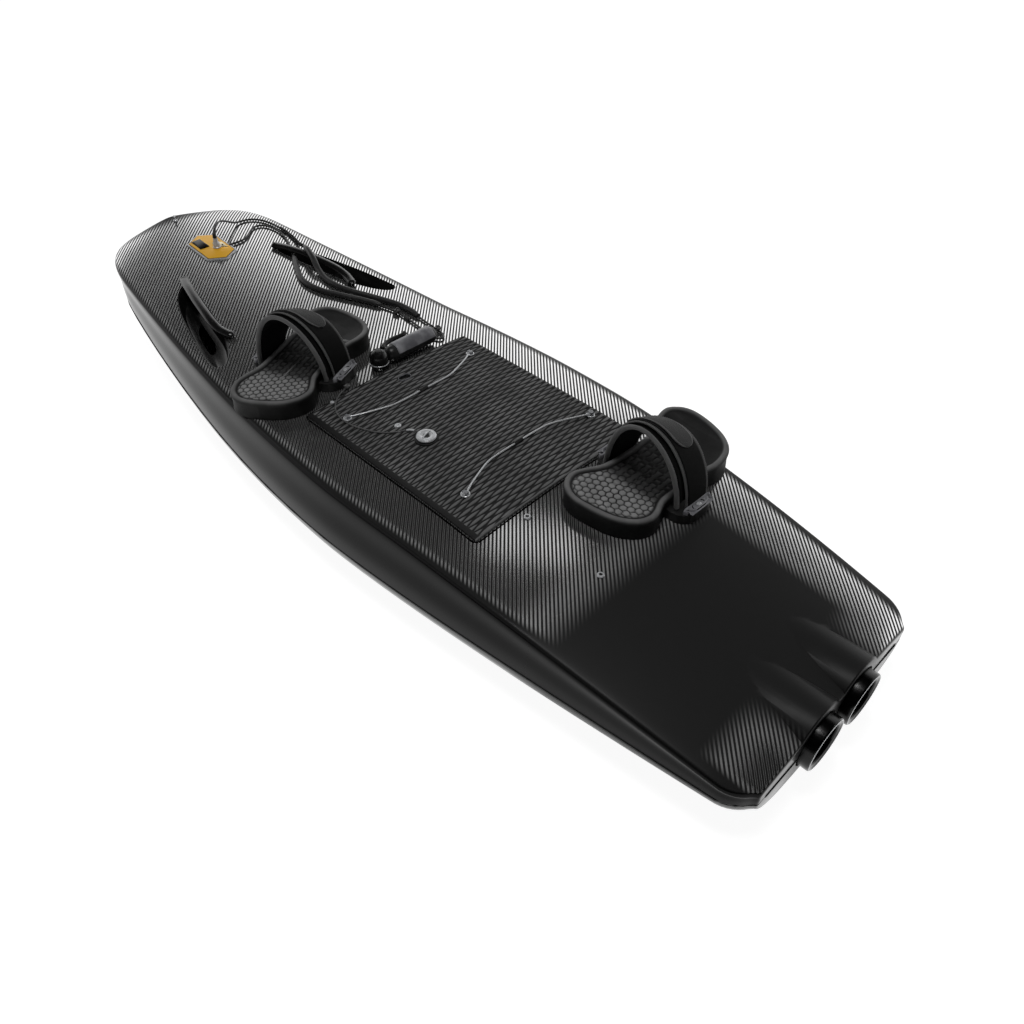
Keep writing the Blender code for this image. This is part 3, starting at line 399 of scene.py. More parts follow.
def make_carbon():
    """A coarse twill under clear resin, its ribs at 45 degrees. Where the deck shows a dark
    reflection the ribs are left out as painted shade: on the steep sides, which stay near black,
    towards the rail's edge and the nose tip, and on most of the tail; they stay on the starboard
    strip and the tail corners, a painted highlight where it shows a bright one.
    """
    look = Look("carbon", Specular_IOR_Level=0.07)
    rib = ((look.x + look.y) / RIB_PITCH).fract() - 0.5
    tow = ((look.x - look.y) / RIB_PITCH + (rib * 0.5)).fract() - 0.5
    over = rib.abs().between(0.29, 0.17)
    across = rib * rib + over * (tow * tow) * 0.35
    # painted shade: the tail loses its ribs and is rougher, all but the starboard strip; the tail
    # corners keep their ribs as a painted highlight
    painted_shade_tail = look.x.between(-0.47, -0.57) * look.y.between(-0.175, -0.125)
    tail_corner = look.x.between(-0.790, -0.865) * look.y.abs().between(0.085, 0.150)
    painted_shade_tail = painted_shade_tail * (tail_corner * -1.0 + 1.0)
    # painted shade: only upward faces carry the ribs and a slightly paler base, so the steep sides
    # stay near black
    top = look.up.between(0.55, 0.90)
    along = (look.x + (-ORIGIN_X - WIDEST_X)).abs().math("POWER", 1.6)
    edge = (along * -0.092 + MAX_RIDGE) - look.y.abs()
    # painted shade: the ribs fade out towards the rail's edge and at the nose tip
    clear_of_painted_shade_edge = edge.between(0.003, 0.020) * look.x.between(X_NOSE + 0.004, X_NOSE - 0.030)
    flat = top * (painted_shade_tail * -1.0 + 1.0) * clear_of_painted_shade_edge
    drift = look.noise(9.0) * 0.5 + 0.75
    fibre = over * flat
    look.colour(0.009, 0.84, fibre * drift + top * 0.014)
    look.feed(look.shader.inputs["Metallic"], fibre + top * -0.7 + 0.7)
    look.rough(0.15, 0.34, painted_shade_tail * (look.noise(60.0) * 0.4 + 0.8))
    look.bump(across * flat * -1.0, 0.00025, 0.25)
    look.bump(look.noise(9.0, detail=1.0), 0.0006, 0.08)
    return look.material


def make_gloss():
    look = Look("gloss_black", Coat_Weight=0.15, Coat_Roughness=0.04, Specular_IOR_Level=0.3)
    # random paler patches of wear
    wear_and_painted_shade = look.noise(40.0).between(0.55, 0.75)
    look.colour(0.006, 0.014, wear_and_painted_shade)
    look.rough(0.16, 0.30, look.noise(120.0, detail=4.0))
    look.bump(look.noise(22.0), 0.0004, 0.2)
    return look.material


def make_eva():
    """Black foam with staggered lens-shaped ridges; their tops are painted grey as a painted
    highlight, except along the port edge.
    """
    look = Look("eva_foam", Specular_IOR_Level=0.3)
    lens = None
    for half in (0.0, 0.5):
        fy = (look.y / RIDGE[1] + half).fract() - 0.5
        fx = (look.x / RIDGE[0] + look.y * RIDGE[2] + half).fract() - 0.5
        one = (fy * fy * 4.0 + fx.abs() * 2.9) * -1.0 + 1.0
        lens = one if lens is None else lens.math("MAXIMUM", one)
    grain = look.noise(900.0, detail=2.0)
    patch = look.noise(11.0, detail=2.0).between(0.35, 0.70)
    port_band = (look.y * -1.0 + (HATCH_HALF - PAD_MARGIN)).between(0.0085, 0.0100)
    rear_line = (look.x - (HATCH_X[0] + PAD_MARGIN + ORIGIN_X)).between(0.0030, 0.0016)
    # painted highlight: the ridge tops are painted paler, varied by random patches and grain, and
    # kept off a band along the port edge
    ridge_painted_highlight = lens.between(0.20, 0.60) * (patch * 0.35 + 0.65) * (grain * 0.5 + 0.75) * port_band
    look.colour(0.003, 0.15, ridge_painted_highlight.math("MAXIMUM", rear_line * 0.9))
    look.rough(0.55, 0.85, grain)
    look.bump(grain, 0.00015, 0.5)
    return look.material


def make_rubber(name, low, high, roughness=(0.45, 0.7), clouds=0.6, shine=0.3):
    """Moulded rubber or plastic: fine grain, cloudy tone, and paler where a piece has a tone; on
    the footpads that tone is a painted highlight on the rim's top and the raised hexagons, with
    painted shade under the straps.
    """
    look = Look(name, Specular_IOR_Level=shine)
    cloud = look.noise(35.0).between(0.3, 0.8)
    look.colour(low, high, look.tone() * (cloud * 0.25 + 0.85) + cloud * clouds)
    look.rough(*roughness, look.noise(350.0))
    look.bump(look.noise(700.0, detail=2.0), 0.00012, 0.6)
    return look.material


def make_cloth(name, low, high, pitch, sheen, solid=False):
    """A plain weave along the piece, or through it where the piece is solid foam."""
    look = Look(name, Sheen_Weight=sheen, Roughness=0.8, Specular_IOR_Level=0.06)
    u, v = (look.x + look.z, look.y - look.z) if solid else look.split(look.uv)[:2]
    warp, weft = (u * (2 * math.pi / pitch)).sine(), (v * (2 * math.pi / pitch)).sine()
    weave = warp * weft * 0.5 + 0.5
    fuzz = look.noise(260.0, detail=4.0)
    look.colour(low, high, weave * 0.25 + fuzz * 0.2 + look.tone() - 0.05)
    look.rough(0.65, 0.92, fuzz)
    look.bump(weave, 0.00025, 0.7)
    look.bump(fuzz, 0.0002, 0.4)
    return look.material


def make_metal(name, low, high, roughness, brushed=(1, 1, 1), metallic=1.0):
    look = Look(name, Metallic=metallic)
    lines = look.noise(300.0, brushed, 5.0)
    look.colour(low, high, lines * 0.7 + look.noise(18.0) * 0.3)
    look.rough(*roughness, look.noise(90.0, brushed))
    look.bump(lines, 0.00006, 0.4)
    return look.material


def make_cable(name, low, high, twist=0.0, pitch=0.010):
    """A cord's jacket: the braid or wrap turns round it as it runs along."""
    look = Look(name, Coat_Weight=0.1)
    u, v, _ = look.split(look.uv)
    wrap = ((u / pitch + v * twist) * (2 * math.pi)).sine() * 0.5 + 0.5
    dust = look.noise(150.0)
    look.colour(low, high, wrap * (0.6 if twist else 0.1) + dust * 0.4)
    look.rough(0.35, 0.6, dust)
    look.bump(wrap if twist else dust, 0.0003 if twist else 0.0001, 0.6)
    return look.material


def make_finishes():
    grey = (0.30, 0.31, 0.33)
    return {
        "carbon": make_carbon(),
        "gloss": make_gloss(),
        "eva_foam": make_eva(),
        "pad_rubber": make_rubber("pad_rubber", 0.003, 0.34, clouds=0.02, shine=0.12),
        "seal_rubber": make_rubber("seal_rubber", 0.008, 0.03),
        "black_plastic": make_rubber("black_plastic", 0.008, 0.040, (0.25, 0.45)),
        "grey_plastic": make_rubber(
            "grey_plastic", (0.10, 0.10, 0.11), (0.42, 0.42, 0.44), (0.28, 0.45),
        ),
        "liner_foam": make_cloth("liner_foam", 0.001, 0.010, 0.0024, 0.0, solid=True),
        "webbing": make_cloth("webbing", 0.003, 0.100, 0.0018, 0.12),
        "thread": make_cloth("thread", 0.03, 0.12, 0.0006, 0.2),
        "steel": make_metal("steel", grey, (0.88, 0.89, 0.90), (0.18, 0.34), (1, 6, 1), 0.25),
        "alloy": make_metal(
            "alloy", (0.22, 0.22, 0.23), (0.42, 0.43, 0.45), (0.30, 0.48), (1, 8, 8),
        ),
        "dark_alloy": make_metal("dark_alloy", 0.012, 0.035, (0.16, 0.30), (1, 6, 6)),
        "gold": make_metal(
            "gold", (0.92, 0.44, 0.010), (0.98, 0.56, 0.03), (0.34, 0.50), (5, 1, 1), 0.15,
        ),
        "pale_gold": make_metal(
            "pale_gold", (0.75, 0.62, 0.36), (0.92, 0.84, 0.62), (0.22, 0.38), (1, 5, 1),
        ),
        "cable_jacket": make_cable("cable_jacket", 0.006, 0.028),
        "sleeve": make_cable("sleeve", 0.005, 0.030, 1.0, 0.0065),
        "lanyard_cord": make_cable("lanyard_cord", 0.02, 0.14, 2.0, 0.004),
    }


FINISH = make_finishes()

# ---- camera, light and floor ----


def make_camera():
    data = bpy.data.cameras.new("photo_camera")
    data.lens, data.sensor_width = 30.3, 36.0
    camera = bpy.data.objects.new("photo_camera", data)
    camera.location = (-1.0531, 0.8110, 1.1210)
    camera.rotation_euler = Vector((0.5177, -0.5161, -0.6825)).to_track_quat("-Z", "Y").to_euler()
    bpy.context.scene.collection.objects.link(camera)
    bpy.context.scene.camera = camera


def softbox(name, place, aim, size, power):
    data = bpy.data.lights.new(name, "AREA")
    data.shape, (data.size, data.size_y), data.energy = "RECTANGLE", size, power
    lamp = bpy.data.objects.new(name, data)
    lamp.location = place
    lamp.rotation_euler = (Vector(aim) - Vector(place)).to_track_quat("-Z", "Y").to_euler()
    lamp.visible_camera = False
    bpy.context.scene.collection.objects.link(lamp)


def make_studio():
    """A pale floor under a sky that is bright low down, beyond the bow and the starboard side."""
    world = bpy.data.worlds.new("studio")
    bpy.context.scene.world = world
    world.use_nodes = True
    sky = Nodes(world.node_tree)
    x, y, z = sky.split(sky.tree.nodes.new("ShaderNodeTexCoord").outputs["Generated"])
    side = x * 0.72 - y * 0.70
    low, high = SKY["height"]
    level = z.between(high, low) * side.between(*SKY["side"]) * SKY["bright"] + SKY["fill"]
    level = level + Field(sky, sky.tree.nodes.new("ShaderNodeLightPath").outputs["Is Camera Ray"])
    backdrop = sky.tree.nodes["Background"]
    sky.feed(backdrop.inputs["Strength"], level)
    backdrop.inputs["Color"].default_value = (1, 1, 1, 1)
    for lamp in LAMPS:
        softbox(*lamp)
    bpy.context.scene.view_settings.view_transform = "Standard"

    floor_look = Look("sweep", Roughness=0.9, Emission_Strength=FLOOR_GLOW)
    floor_look.shader.inputs["Emission Color"].default_value = (1, 1, 1, 1)
    floor_look.colour(0.30, 0.33, floor_look.noise(1.5))
    work = bmesh.new()
    bmesh.ops.create_grid(work, x_segments=8, y_segments=8, size=14.0)
    mesh = bpy.data.meshes.new("floor")
    work.to_mesh(mesh)
    work.free()
    mesh.materials.append(floor_look.material)
    floor = bpy.data.objects.new("floor", mesh)
    floor.location.z = -0.0005
    bpy.context.scene.collection.objects.link(floor)


SKY = {"height": (0.46, 0.635), "side": (-0.50, 0.60), "bright": 1.25, "fill": 0.012}
FLOOR_GLOW = 0.93
LAMPS = [
    ("key", (-0.35, 0.40, 3.0), (0, 0, 0), (0.9, 0.9), 34),
    ("aft_port_glow", (1.03, -1.58, 3.50), (-0.41, 0.13, 0.19), (0.9, 0.55), 1.1),
]
make_camera()
make_studio()

# ---- making pieces ----


def make_mesh(name, verts, faces, sharp=32, tone=None, uv=None):
    """An object in the part's frame, its normals out, and sharp where faces meet at an angle."""
    mesh = bpy.data.meshes.new(name)
    mesh.from_pydata([(v[0] + ORIGIN_X, v[1], v[2]) for v in verts], [], faces)
    if tone:
        mesh.attributes.new("tone", "FLOAT", "POINT").data.foreach_set("value", tone)
    if uv:
        layer = mesh.uv_layers.new(name="along")
        for loop in mesh.loops:
            layer.data[loop.index].uv = uv[loop.vertex_index]
    work = bmesh.new()
    work.from_mesh(mesh)
    bmesh.ops.remove_doubles(work, verts=work.verts, dist=2e-6)
    bmesh.ops.recalc_face_normals(work, faces=work.faces)
    if work.calc_volume(signed=True) < 0:
        bmesh.ops.reverse_faces(work, faces=work.faces)
    work.to_mesh(mesh)
    work.free()
    mesh.shade_smooth()
    mesh.set_sharp_from_angle(angle=math.radians(sharp))
    obj = bpy.data.objects.new(name, mesh)
    bpy.context.scene.collection.objects.link(obj)
    return obj


def place_piece(obj, finish, body="board", nodes=(), slot=None):
    obj.data.materials.clear()
    obj.data.materials.append(FINISH[finish])
    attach(obj, body)
    if nodes:
        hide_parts(*([nodes] if isinstance(nodes, str) else nodes))
    slot or finish
    return obj


def loft(name, loops, sharp=32, caps=True, tone=None, closed=False, uv=None):
    """Equal rings of points joined in order."""
    n = len(loops[0])
    verts = [v for ring in loops for v in ring]
    faces = []
    for i in range(len(loops) - (0 if closed else 1)):
        a, b = i * n, (i + 1) % len(loops) * n
        faces += [(a + j, a + (j + 1) % n, b + (j + 1) % n, b + j) for j in range(n)]
    if caps and not closed:
        faces += [tuple(range(n - 1, -1, -1)), tuple(range((len(loops) - 1) * n, len(loops) * n))]
    return make_mesh(name, verts, faces, sharp, tone, uv)


def turned(name, centre, profile, sides=48, along_x=False):
    """A turned form along z, or along x: profile is a list of (radius, height)."""
    x, y, z = centre
    loops = []
    for r, h in profile:
        ring = [(r * math.cos(a), r * math.sin(a)) for a in turn(sides)]
        loops.append([(x + h, y + p, z + q) if along_x else (x + p, y + q, z + h) for p, q in ring])
    return loft(name, loops)


def rod(name, path, radius, sides=24, flat=1.0):
    """A rod along a path, round or flattened; its radius may vary. It carries its length as UV."""
    points = [Vector(p) for p in path]
    loops, uv, run, side = [], [], 0.0, None
    for i, point in enumerate(points):
        ahead = (points[min(i + 1, len(points) - 1)] - points[max(i - 1, 0)]).normalized()
        if side is None or abs(ahead.z) < 0.9:
            level = ahead.cross(Vector((0, 0, 1)))
        else:
            level = side - ahead * side.dot(ahead)
        level.normalize()
        side = -level if side is not None and level.dot(side) < 0 else level
        lift = side.cross(ahead)
        r = radius(i / (len(points) - 1)) if callable(radius) else radius
        loops.append(
            [point + side * r * math.cos(a) + lift * r * flat * math.sin(a) for a in turn(sides)]
        )
        run += (point - points[max(i - 1, 0)]).length
        uv += [(run, j / sides) for j in range(sides)]
    return loft(name, loops, 50, uv=uv)


def cut_with(obj, others, operation="DIFFERENCE"):
    """Booleans applied to the mesh, so that no cutter is left."""
    for other in others:
        modifier = obj.modifiers.new("cut", "BOOLEAN")
        modifier.operation, modifier.solver, modifier.object = operation, "EXACT", other
        graph = bpy.context.evaluated_depsgraph_get()
        mesh = bpy.data.meshes.new_from_object(obj.evaluated_get(graph))
        obj.modifiers.clear()
        obj.data = mesh
        bpy.data.objects.remove(other, do_unlink=True)
    obj.data.shade_smooth()
    obj.data.set_sharp_from_angle(angle=math.radians(30))
    return obj


def prism(outline, z0, z1):
    return loft("cutter", [[(x, y, z) for x, y in outline] for z in (z0, z1)])


def block(low, high):
    (a, b, c), (d, e, f) = low, high
    return loft("cutter", [[(a, b, z), (d, b, z), (d, e, z), (a, e, z)] for z in (c, f)])


def tube_x(x0, x1, y, radii):
    profile = [(radius, (x1 - x0) * part) for part, radius in radii]
    return turned("cutter", (x0, y, JET_Z), profile, 96, along_x=True)


# ---- cords first ----


def make_cord(name, route, diameter, finish, body, **facts):
    """A free cord on its route, with its pieces; lengths are measured along the route."""
    path = smooth([above(*p) for p in route], 6)
    curve = bpy.data.curves.new(name, "CURVE")
    curve.dimensions, curve.bevel_depth, curve.bevel_resolution = "3D", diameter / 2, 5
    curve.use_fill_caps = True
    spline = curve.splines.new("POLY")
    spline.points.add(len(path) - 1)
    for point, place in zip(spline.points, path):
        point.co = (place.x + ORIGIN_X, place.y, place.z, 1.0)
    spline.use_smooth = True
    obj = bpy.data.objects.new(name, curve)
    bpy.context.scene.collection.objects.link(obj)
    place_piece(obj, finish, body, facts.pop("node"), facts.pop("slot"))
    pieces = facts.pop("make_pieces")(path)


def stretch(path, start, end):
    """The part of a path between two lengths along it."""
    run, out = 0.0, []
    for a, b in zip(path, path[1:]):
        run += (b - a).length
        if start <= run <= end:
            out.append(b)
    return out


def coil_round(name, path, radius, pitch, wire):
    """A wrap that winds round a cord."""
    points, run = [], 0.0
    for a, b in zip(path, path[1:]):
        ahead = (b - a).normalized()
        side = ahead.cross(Vector((0, 0, 1))).normalized()
        lift = side.cross(ahead)
        steps = max(2, int((b - a).length / (pitch / 10)))
        for k in range(steps):
            t = 2 * math.pi * (run + (b - a).length * k / steps) / pitch
            points.append(
                a.lerp(b, k / steps) + side * radius * math.cos(t) + lift * radius * math.sin(t)
            )
        run += (b - a).length
    return rod(name, points, wire, 8)


def knot(name, at, size):
    """A small overhand knot: one turn of a trefoil."""
    points = []
    for a in turn(48):
        x, y = math.sin(a) + 2 * math.sin(2 * a), math.cos(a) - 2 * math.cos(2 * a)
        points.append(Vector(at) + Vector((x, y, 1.1 - math.sin(3 * a) * 0.9)) * size / 3)
    return loft(name, tube_rings(points, size * 0.40), caps=False, closed=True)


def tube_rings(points, radius):
    """Rings of ten points round a closed path."""
    rings = []
    for i, point in enumerate(points):
        ahead = (points[(i + 1) % len(points)] - points[i - 1]).normalized()
        side = ahead.cross(Vector((0.31, 0.17, 0.93))).normalized()
        lift = side.cross(ahead)
        rings.append(
            [point + side * radius * math.cos(a) + lift * radius * math.sin(a) for a in turn(10)]
        )
    return rings


def tether_pieces(path):
    """Two padded sleeves, a spiral wrap, ties and the strain relief on the plug."""
    total = sum((b - a).length for a, b in zip(path, path[1:]))
    sleeves = [
        ("tether_sleeve_out", 0.42, 0.80, 0.0066),
        ("tether_sleeve_back", total - 0.62, total - 0.30, 0.0060),
    ]
    pieces = []
    for name, start, end, radius in sleeves:
        part = stretch(path, start, end)

        def swell(t, radius=radius):
            return radius * min(1.0, 0.62 + 9 * min(t, 1 - t))

        sleeve = rod(name, [p + Vector((0, 0, 0.0022)) for p in part], swell)
        pieces.append(place_piece(sleeve, "cable_jacket"))
    wrap = coil_round("tether_wrap", stretch(path, 0.26, 0.42), 0.0030, 0.0080, 0.0011)
    pieces.append(place_piece(wrap, "sleeve", slot="cable_jacket"))
    relief = rod("tether_relief", path[:14], lambda t: 0.0050 - 0.0022 * t)
    pieces.append(place_piece(relief, "black_plastic"))
    knots = ((0.86, 0.0065), (0.95, 0.0055), (total - 0.55, 0.0060), (total - 0.66, 0.0065))
    for i, (where, size) in enumerate(knots):
        at = stretch(path, where, where + 0.01)[0] + Vector((0, 0, 0.001))
        pieces.append(place_piece(knot(f"tether_knot_{i}", at, size), "cable_jacket"))
    for i, where in enumerate((0.30, 0.84, total - 0.70, total - 0.30)):
        part = stretch(path, where, where + 0.012)
        band = rod(f"tether_tie_{i}", part, 0.0033)
        pieces.append(place_piece(band, "black_plastic"))
    return pieces


def lanyard_pieces(path):
    ends = [place_piece(knot("lanyard_knot_front", path[2], 0.0048), "lanyard_cord", "hatch")]
    crimp = rod("lanyard_crimp", path[-9:-3], 0.0021)
    return ends + [place_piece(crimp, "steel", "hatch")]


make_cord(
    "tether_cord", TETHER_ROUTE, TETHER_D, "cable_jacket", "board",
    node="tether_cable", slot="cable_jacket", make_pieces=tether_pieces,
    length=1.71, far_end="object", stiffness="limp", lay="loose",
)
make_cord(
    "lanyard", LANYARD_ROUTE, LANYARD_D, "lanyard_cord", "hatch",
    node="stop_lanyard", slot="lanyard_cord", make_pieces=lanyard_pieces,
    length=0.26, far_end="object", stiffness="limp", lay="loose",
)

# ---- shells ----

HANDLE_POINTS = [
    (0.628, 0.118), (0.600, 0.150), (0.560, 0.172), (0.500, 0.192), (0.430, 0.211), (0.360, 0.224),
    (0.338, 0.222), (0.334, 0.206), (0.350, 0.186), (0.385, 0.166), (0.424, 0.150), (0.500, 0.134),
    (0.570, 0.120), (0.612, 0.111),
]
HANDLE_LINE = closed_curve(HANDLE_POINTS, 6)
HANDLE_PATH = (
    (0.6380, 0.1120, 0.0064), (0.6280, 0.1155, 0.0066), (0.6150, 0.1205, 0.0085),
    (0.5850, 0.1290, 0.0120), (0.5400, 0.1405, 0.0140), (0.4900, 0.1510, 0.0140),
    (0.4550, 0.1570, 0.0120), (0.4280, 0.1580, 0.0085), (0.4050, 0.1530, 0.0066),
    (0.3880, 0.1480, 0.0064),
)
SIDES = (("port", 1), ("starboard", -1))


def stations(inset, count=110):
    start, end = X_TAIL + inset, X_NOSE - 0.0004 - 1.6 * inset
    return [
        start + (end - start) * (0.5 - 0.5 * math.cos(math.pi * i / count))
        for i in range(count + 1)
    ]


def shell(name, section):
    """The CAD's open shell in finer steps, its transom's edge rounded."""
    round_off = [
        (TAIL_ROUND * (1 - math.cos(a)), TAIL_ROUND * (1 - math.sin(a)))
        for a in (0.0, 0.4, 0.8, 1.2)
    ]
    outer = [
        [(X_TAIL + dx, y, z) for _, y, z in smooth_section(section(X_TAIL + 0.006, inset))]
        for dx, inset in round_off
    ]
    outer += [smooth_section(section(x, 0.0)) for x in stations(0.0) if x > X_TAIL + TAIL_ROUND]
    inner = [smooth_section(section(x, WALL)) for x in stations(WALL)][: len(outer)]
    n, m = len(outer), len(outer[0])
    while len(inner) < n:
        inner.insert(1, inner[1])
    verts = [v for ring in outer + inner for v in ring]
    faces, base = [], n * m
    for i in range(n - 1):
        for j in range(m - 1):
            a, b = i * m + j, (i + 1) * m + j
            faces += [(a, a + 1, b + 1, b), (base + a, base + b, base + b + 1, base + a + 1)]
        for j in (0, m - 1):
            a, b = i * m + j, (i + 1) * m + j
            faces.append((a, b, base + b, base + a))
    for start in (0, (n - 1) * m):
        faces += [tuple(range(start, start + m)), tuple(base + k for k in range(start, start + m))]
        faces.append((start, start + m - 1, base + start + m - 1, base + start))
    return make_mesh(name, verts, faces)


def mirrored(outline, side):
    return outline if side > 0 else [(x, -y) for x, y in outline]


def make_shells():
    hull = shell("hull", hull_section)
    deck = shell("deck", deck_section)
    fairing = [
        (0, FAIRING_R - 0.003), (0.004, FAIRING_R - 0.001), (0.010, FAIRING_R), (0.62, FAIRING_R),
    ]
    fairing += [(0.62 + 0.38 * t, FAIRING_R - 0.032 * t * t) for t in (0.25, 0.5, 0.75, 1.0)]
    cut_with(deck, [tube_x(X_TAIL, -0.640, s * JET_Y, fairing) for _, s in SIDES], "UNION")
    cut_with(deck, [block((X_TAIL - 0.02, -0.3, -0.02), (-0.55, 0.3, SEAM_Z + SEAM_HALF))])
    bore = [(0, PUMP_R + 0.0003), (1, PUMP_R + 0.0003)]
    for _, s in SIDES:
        y = s * JET_Y
        holes = [
            tube_x(X_TAIL - 0.02, -0.62, y, bore),
            prism(grown(mirrored(HANDLE_LINE, s), 0.001), 0.0, 0.4),
        ]
        cut_with(deck, holes)
        duct = block((-0.690, y - 0.028, -0.02), (-0.560, y + 0.028, 0.03))
        cut_with(hull, [tube_x(X_TAIL - 0.02, X_TAIL + 0.03, y, bore), duct])
    middle, half = (HATCH_X[0] + HATCH_X[1]) / 2, (HATCH_X[1] - HATCH_X[0]) / 2
    hole = [size + LID_GAP for size in (half, HATCH_HALF, HATCH_CORNER)]
    cut_with(deck, [prism(rounded_rect(middle, 0, *hole), 0, 0.4)])
    place_piece(hull, "carbon", nodes="hull_shell")
    place_piece(deck, "carbon", nodes="deck_shell")


def make_cups():
    """Glossy recesses with a bar over each."""

    def swell(t):
        return 0.0095 * min(1.0, 0.35 + 12 * min(t, 1 - t))

    for tag, s in SIDES:
        line = mirrored(HANDLE_LINE, s)
        steps = [
            (0.0, -0.0012), (-0.0010, -0.0016), (-0.0030, -0.0060), (-0.0045, -0.0260),
            (-0.0080, -0.0330), (-0.0150, -0.0358),
        ]
        loops = stepped(line, steps)
        cx, cy = sum(p[0] for p in line) / len(line), sum(p[1] for p in line) / len(line)
        floor = [(cx + (x - cx) * 0.35, cy + (y - cy) * 0.35) for x, y in line]
        loops += [[above(x, y, h) for x, y in floor] for h in (-0.0362, -0.0395)]
        loops.append([above(x, y, -0.0395) for x, y in line])
        cup = loft("cup_" + tag, loops, closed=True, caps=False)
        place_piece(cup, "gloss", nodes="handle_cup_" + tag, slot="carbon")
        path = smooth([above(x, s * y, h) for x, y, h in HANDLE_PATH], 8)
        bar = rod("handle_bar_" + tag, path, swell, 28, 0.62)
        place_piece(bar, "gloss", nodes="carry_handle_" + tag, slot="carbon")


# ---- hatch ----


def make_hatch_pad():
    """A fine sheet over the lid with its lens-shaped ridges, holed for the fittings."""
    x0, x1 = HATCH_X[0] + PAD_MARGIN, HATCH_X[1] - PAD_MARGIN
    y1 = HATCH_HALF - PAD_MARGIN
    nx, ny = 324, 130
    verts = []

    def top(x, y):
        lens = 0.0
        for half in (0.0, 0.5):
            fy = (y / RIDGE[1] + half) % 1.0 - 0.5
            fx = ((x + ORIGIN_X) / RIDGE[0] + y * RIDGE[2] + half) % 1.0 - 0.5
            lens = max(lens, 1 - 4 * fy * fy - 2.9 * abs(fx))
        edge = min(x - x0, x1 - x, y1 - abs(y))
        band = ramp(min(edge, y1 - y - 0.005), 0.0045, 0.002)
        groove = 0.0017 * band * (1 - min(1.0, lens * 1.5))
        return 0.0043 - groove - 0.0012 * max(0.0, 1 - edge / 0.0012)

    for i in range(nx + 1):
        for j in range(ny + 1):
            x, y = x0 + (x1 - x0) * i / nx, -y1 + 2 * y1 * j / ny
            verts.append(above(x, y, top(x, y)))
    row = ny + 1
    faces = [
        (i * row + j, i * row + j + 1, i * row + row + j + 1, i * row + row + j) for i in range(nx)
        for j in range(ny)
    ]
    ring = list(range(row)) + [i * row + ny for i in range(1, nx + 1)]
    ring += [nx * row + j for j in range(ny - 1, -1, -1)] + [i * row for i in range(nx - 1, 0, -1)]
    low = len(verts)
    verts += [above(verts[k][0], verts[k][1], 0.0003) for k in ring]
    faces += [
        (ring[k], ring[(k + 1) % len(ring)], low + (k + 1) % len(ring), low + k)
        for k in range(len(ring))
    ]
    faces.append(tuple(range(low, low + len(ring))))
    pad = make_mesh("traction_pad", verts, faces, sharp=60)
    holes = [
        prism(rounded_rect(x, y, 0.0060, 0.0045, 0.002), 0, 0.4) for x, y in eye_places().values()
    ]
    holes.append(turned("cutter", (*KEY_AT, 0), [(KEY_R + 0.0035, 0.0), (KEY_R + 0.0035, 0.4)]))
    holes.append(prism(rounded_rect(*FINGER_AT, 0.010, 0.015, 0.0095), 0, 0.4))
    place_piece(cut_with(pad, holes), "eva_foam", "hatch", "hatch_pad")


def eye_places():
    ax, y0, y1, _ = FRONT_BAIL
    bx, z0, z1, _ = REAR_BAIL
    return {
        "front_starboard": (ax, y0), "front_port": (ax, y1), "rear_starboard": (bx, z0),
        "rear_port": (bx, z1),
    }


def make_bail(tag, bail):
    ax, y0, y1, reach = bail
    z = deck_z(ax, min(abs(y0), abs(y1))) + BAIL_Z

    def lie(part, y):
        return (ax + part * reach, y, max(deck_z(ax, y) + BAIL_Z, z - 0.0004))

    half = [
        (0.12, 0.010), (0.34, 0.025), (0.55, 0.042), (0.77, 0.061), (0.93, 0.078), (1.0, 0.100),
        (1.0, 0.150),
    ]
    path = [(ax, y0 - 0.0055, z), (ax, y0 + 0.0020, z)] + [lie(p, y0 + d) for p, d in half[:6]]
    path += [lie(1.0, y0 + 0.150), lie(1.0, y1 - 0.100)] + [lie(p, y1 - d) for p, d in half[4::-1]]
    path += [(ax, y1 - 0.0020, z), (ax, y1 + 0.0055, z)]
    wire = rod("bail_wire_" + tag, smooth(path, 6), WIRE_R, 16)
    place_piece(wire, "steel", "bail_" + tag, "bail_" + tag)
    clasp = [lie(1.0, (y0 + y1) / 2 + d) for d in (-0.009, -0.003, 0.003, 0.009)]
    grip = rod("bail_sleeve_" + tag, smooth(clasp, 4), 0.0042, 20)
    place_piece(grip, "black_plastic", "bail_" + tag)
    for side, y in (("starboard", y0), ("port", y1)):
        hoop = [
            Vector(above(ax + 0.0068 * math.cos(a), y + 0.0068 * math.sin(a), 0.0054))
            for a in turn(40)
        ]
        ring = loft(f"eye_ring_{tag}_{side}", tube_rings(hoop, 0.0013), closed=True, caps=False)
        place_piece(ring, "steel", "hatch")
        for k, d in enumerate((-0.0041, 0.0041)):
            line = [(ax, y + d - 0.0009, z), (ax, y + d + 0.0009, z)]
            collar = rod(f"eye_collar_{tag}_{side}_{k}", line, 0.0033, 24)
            place_piece(collar, "steel", "hatch")


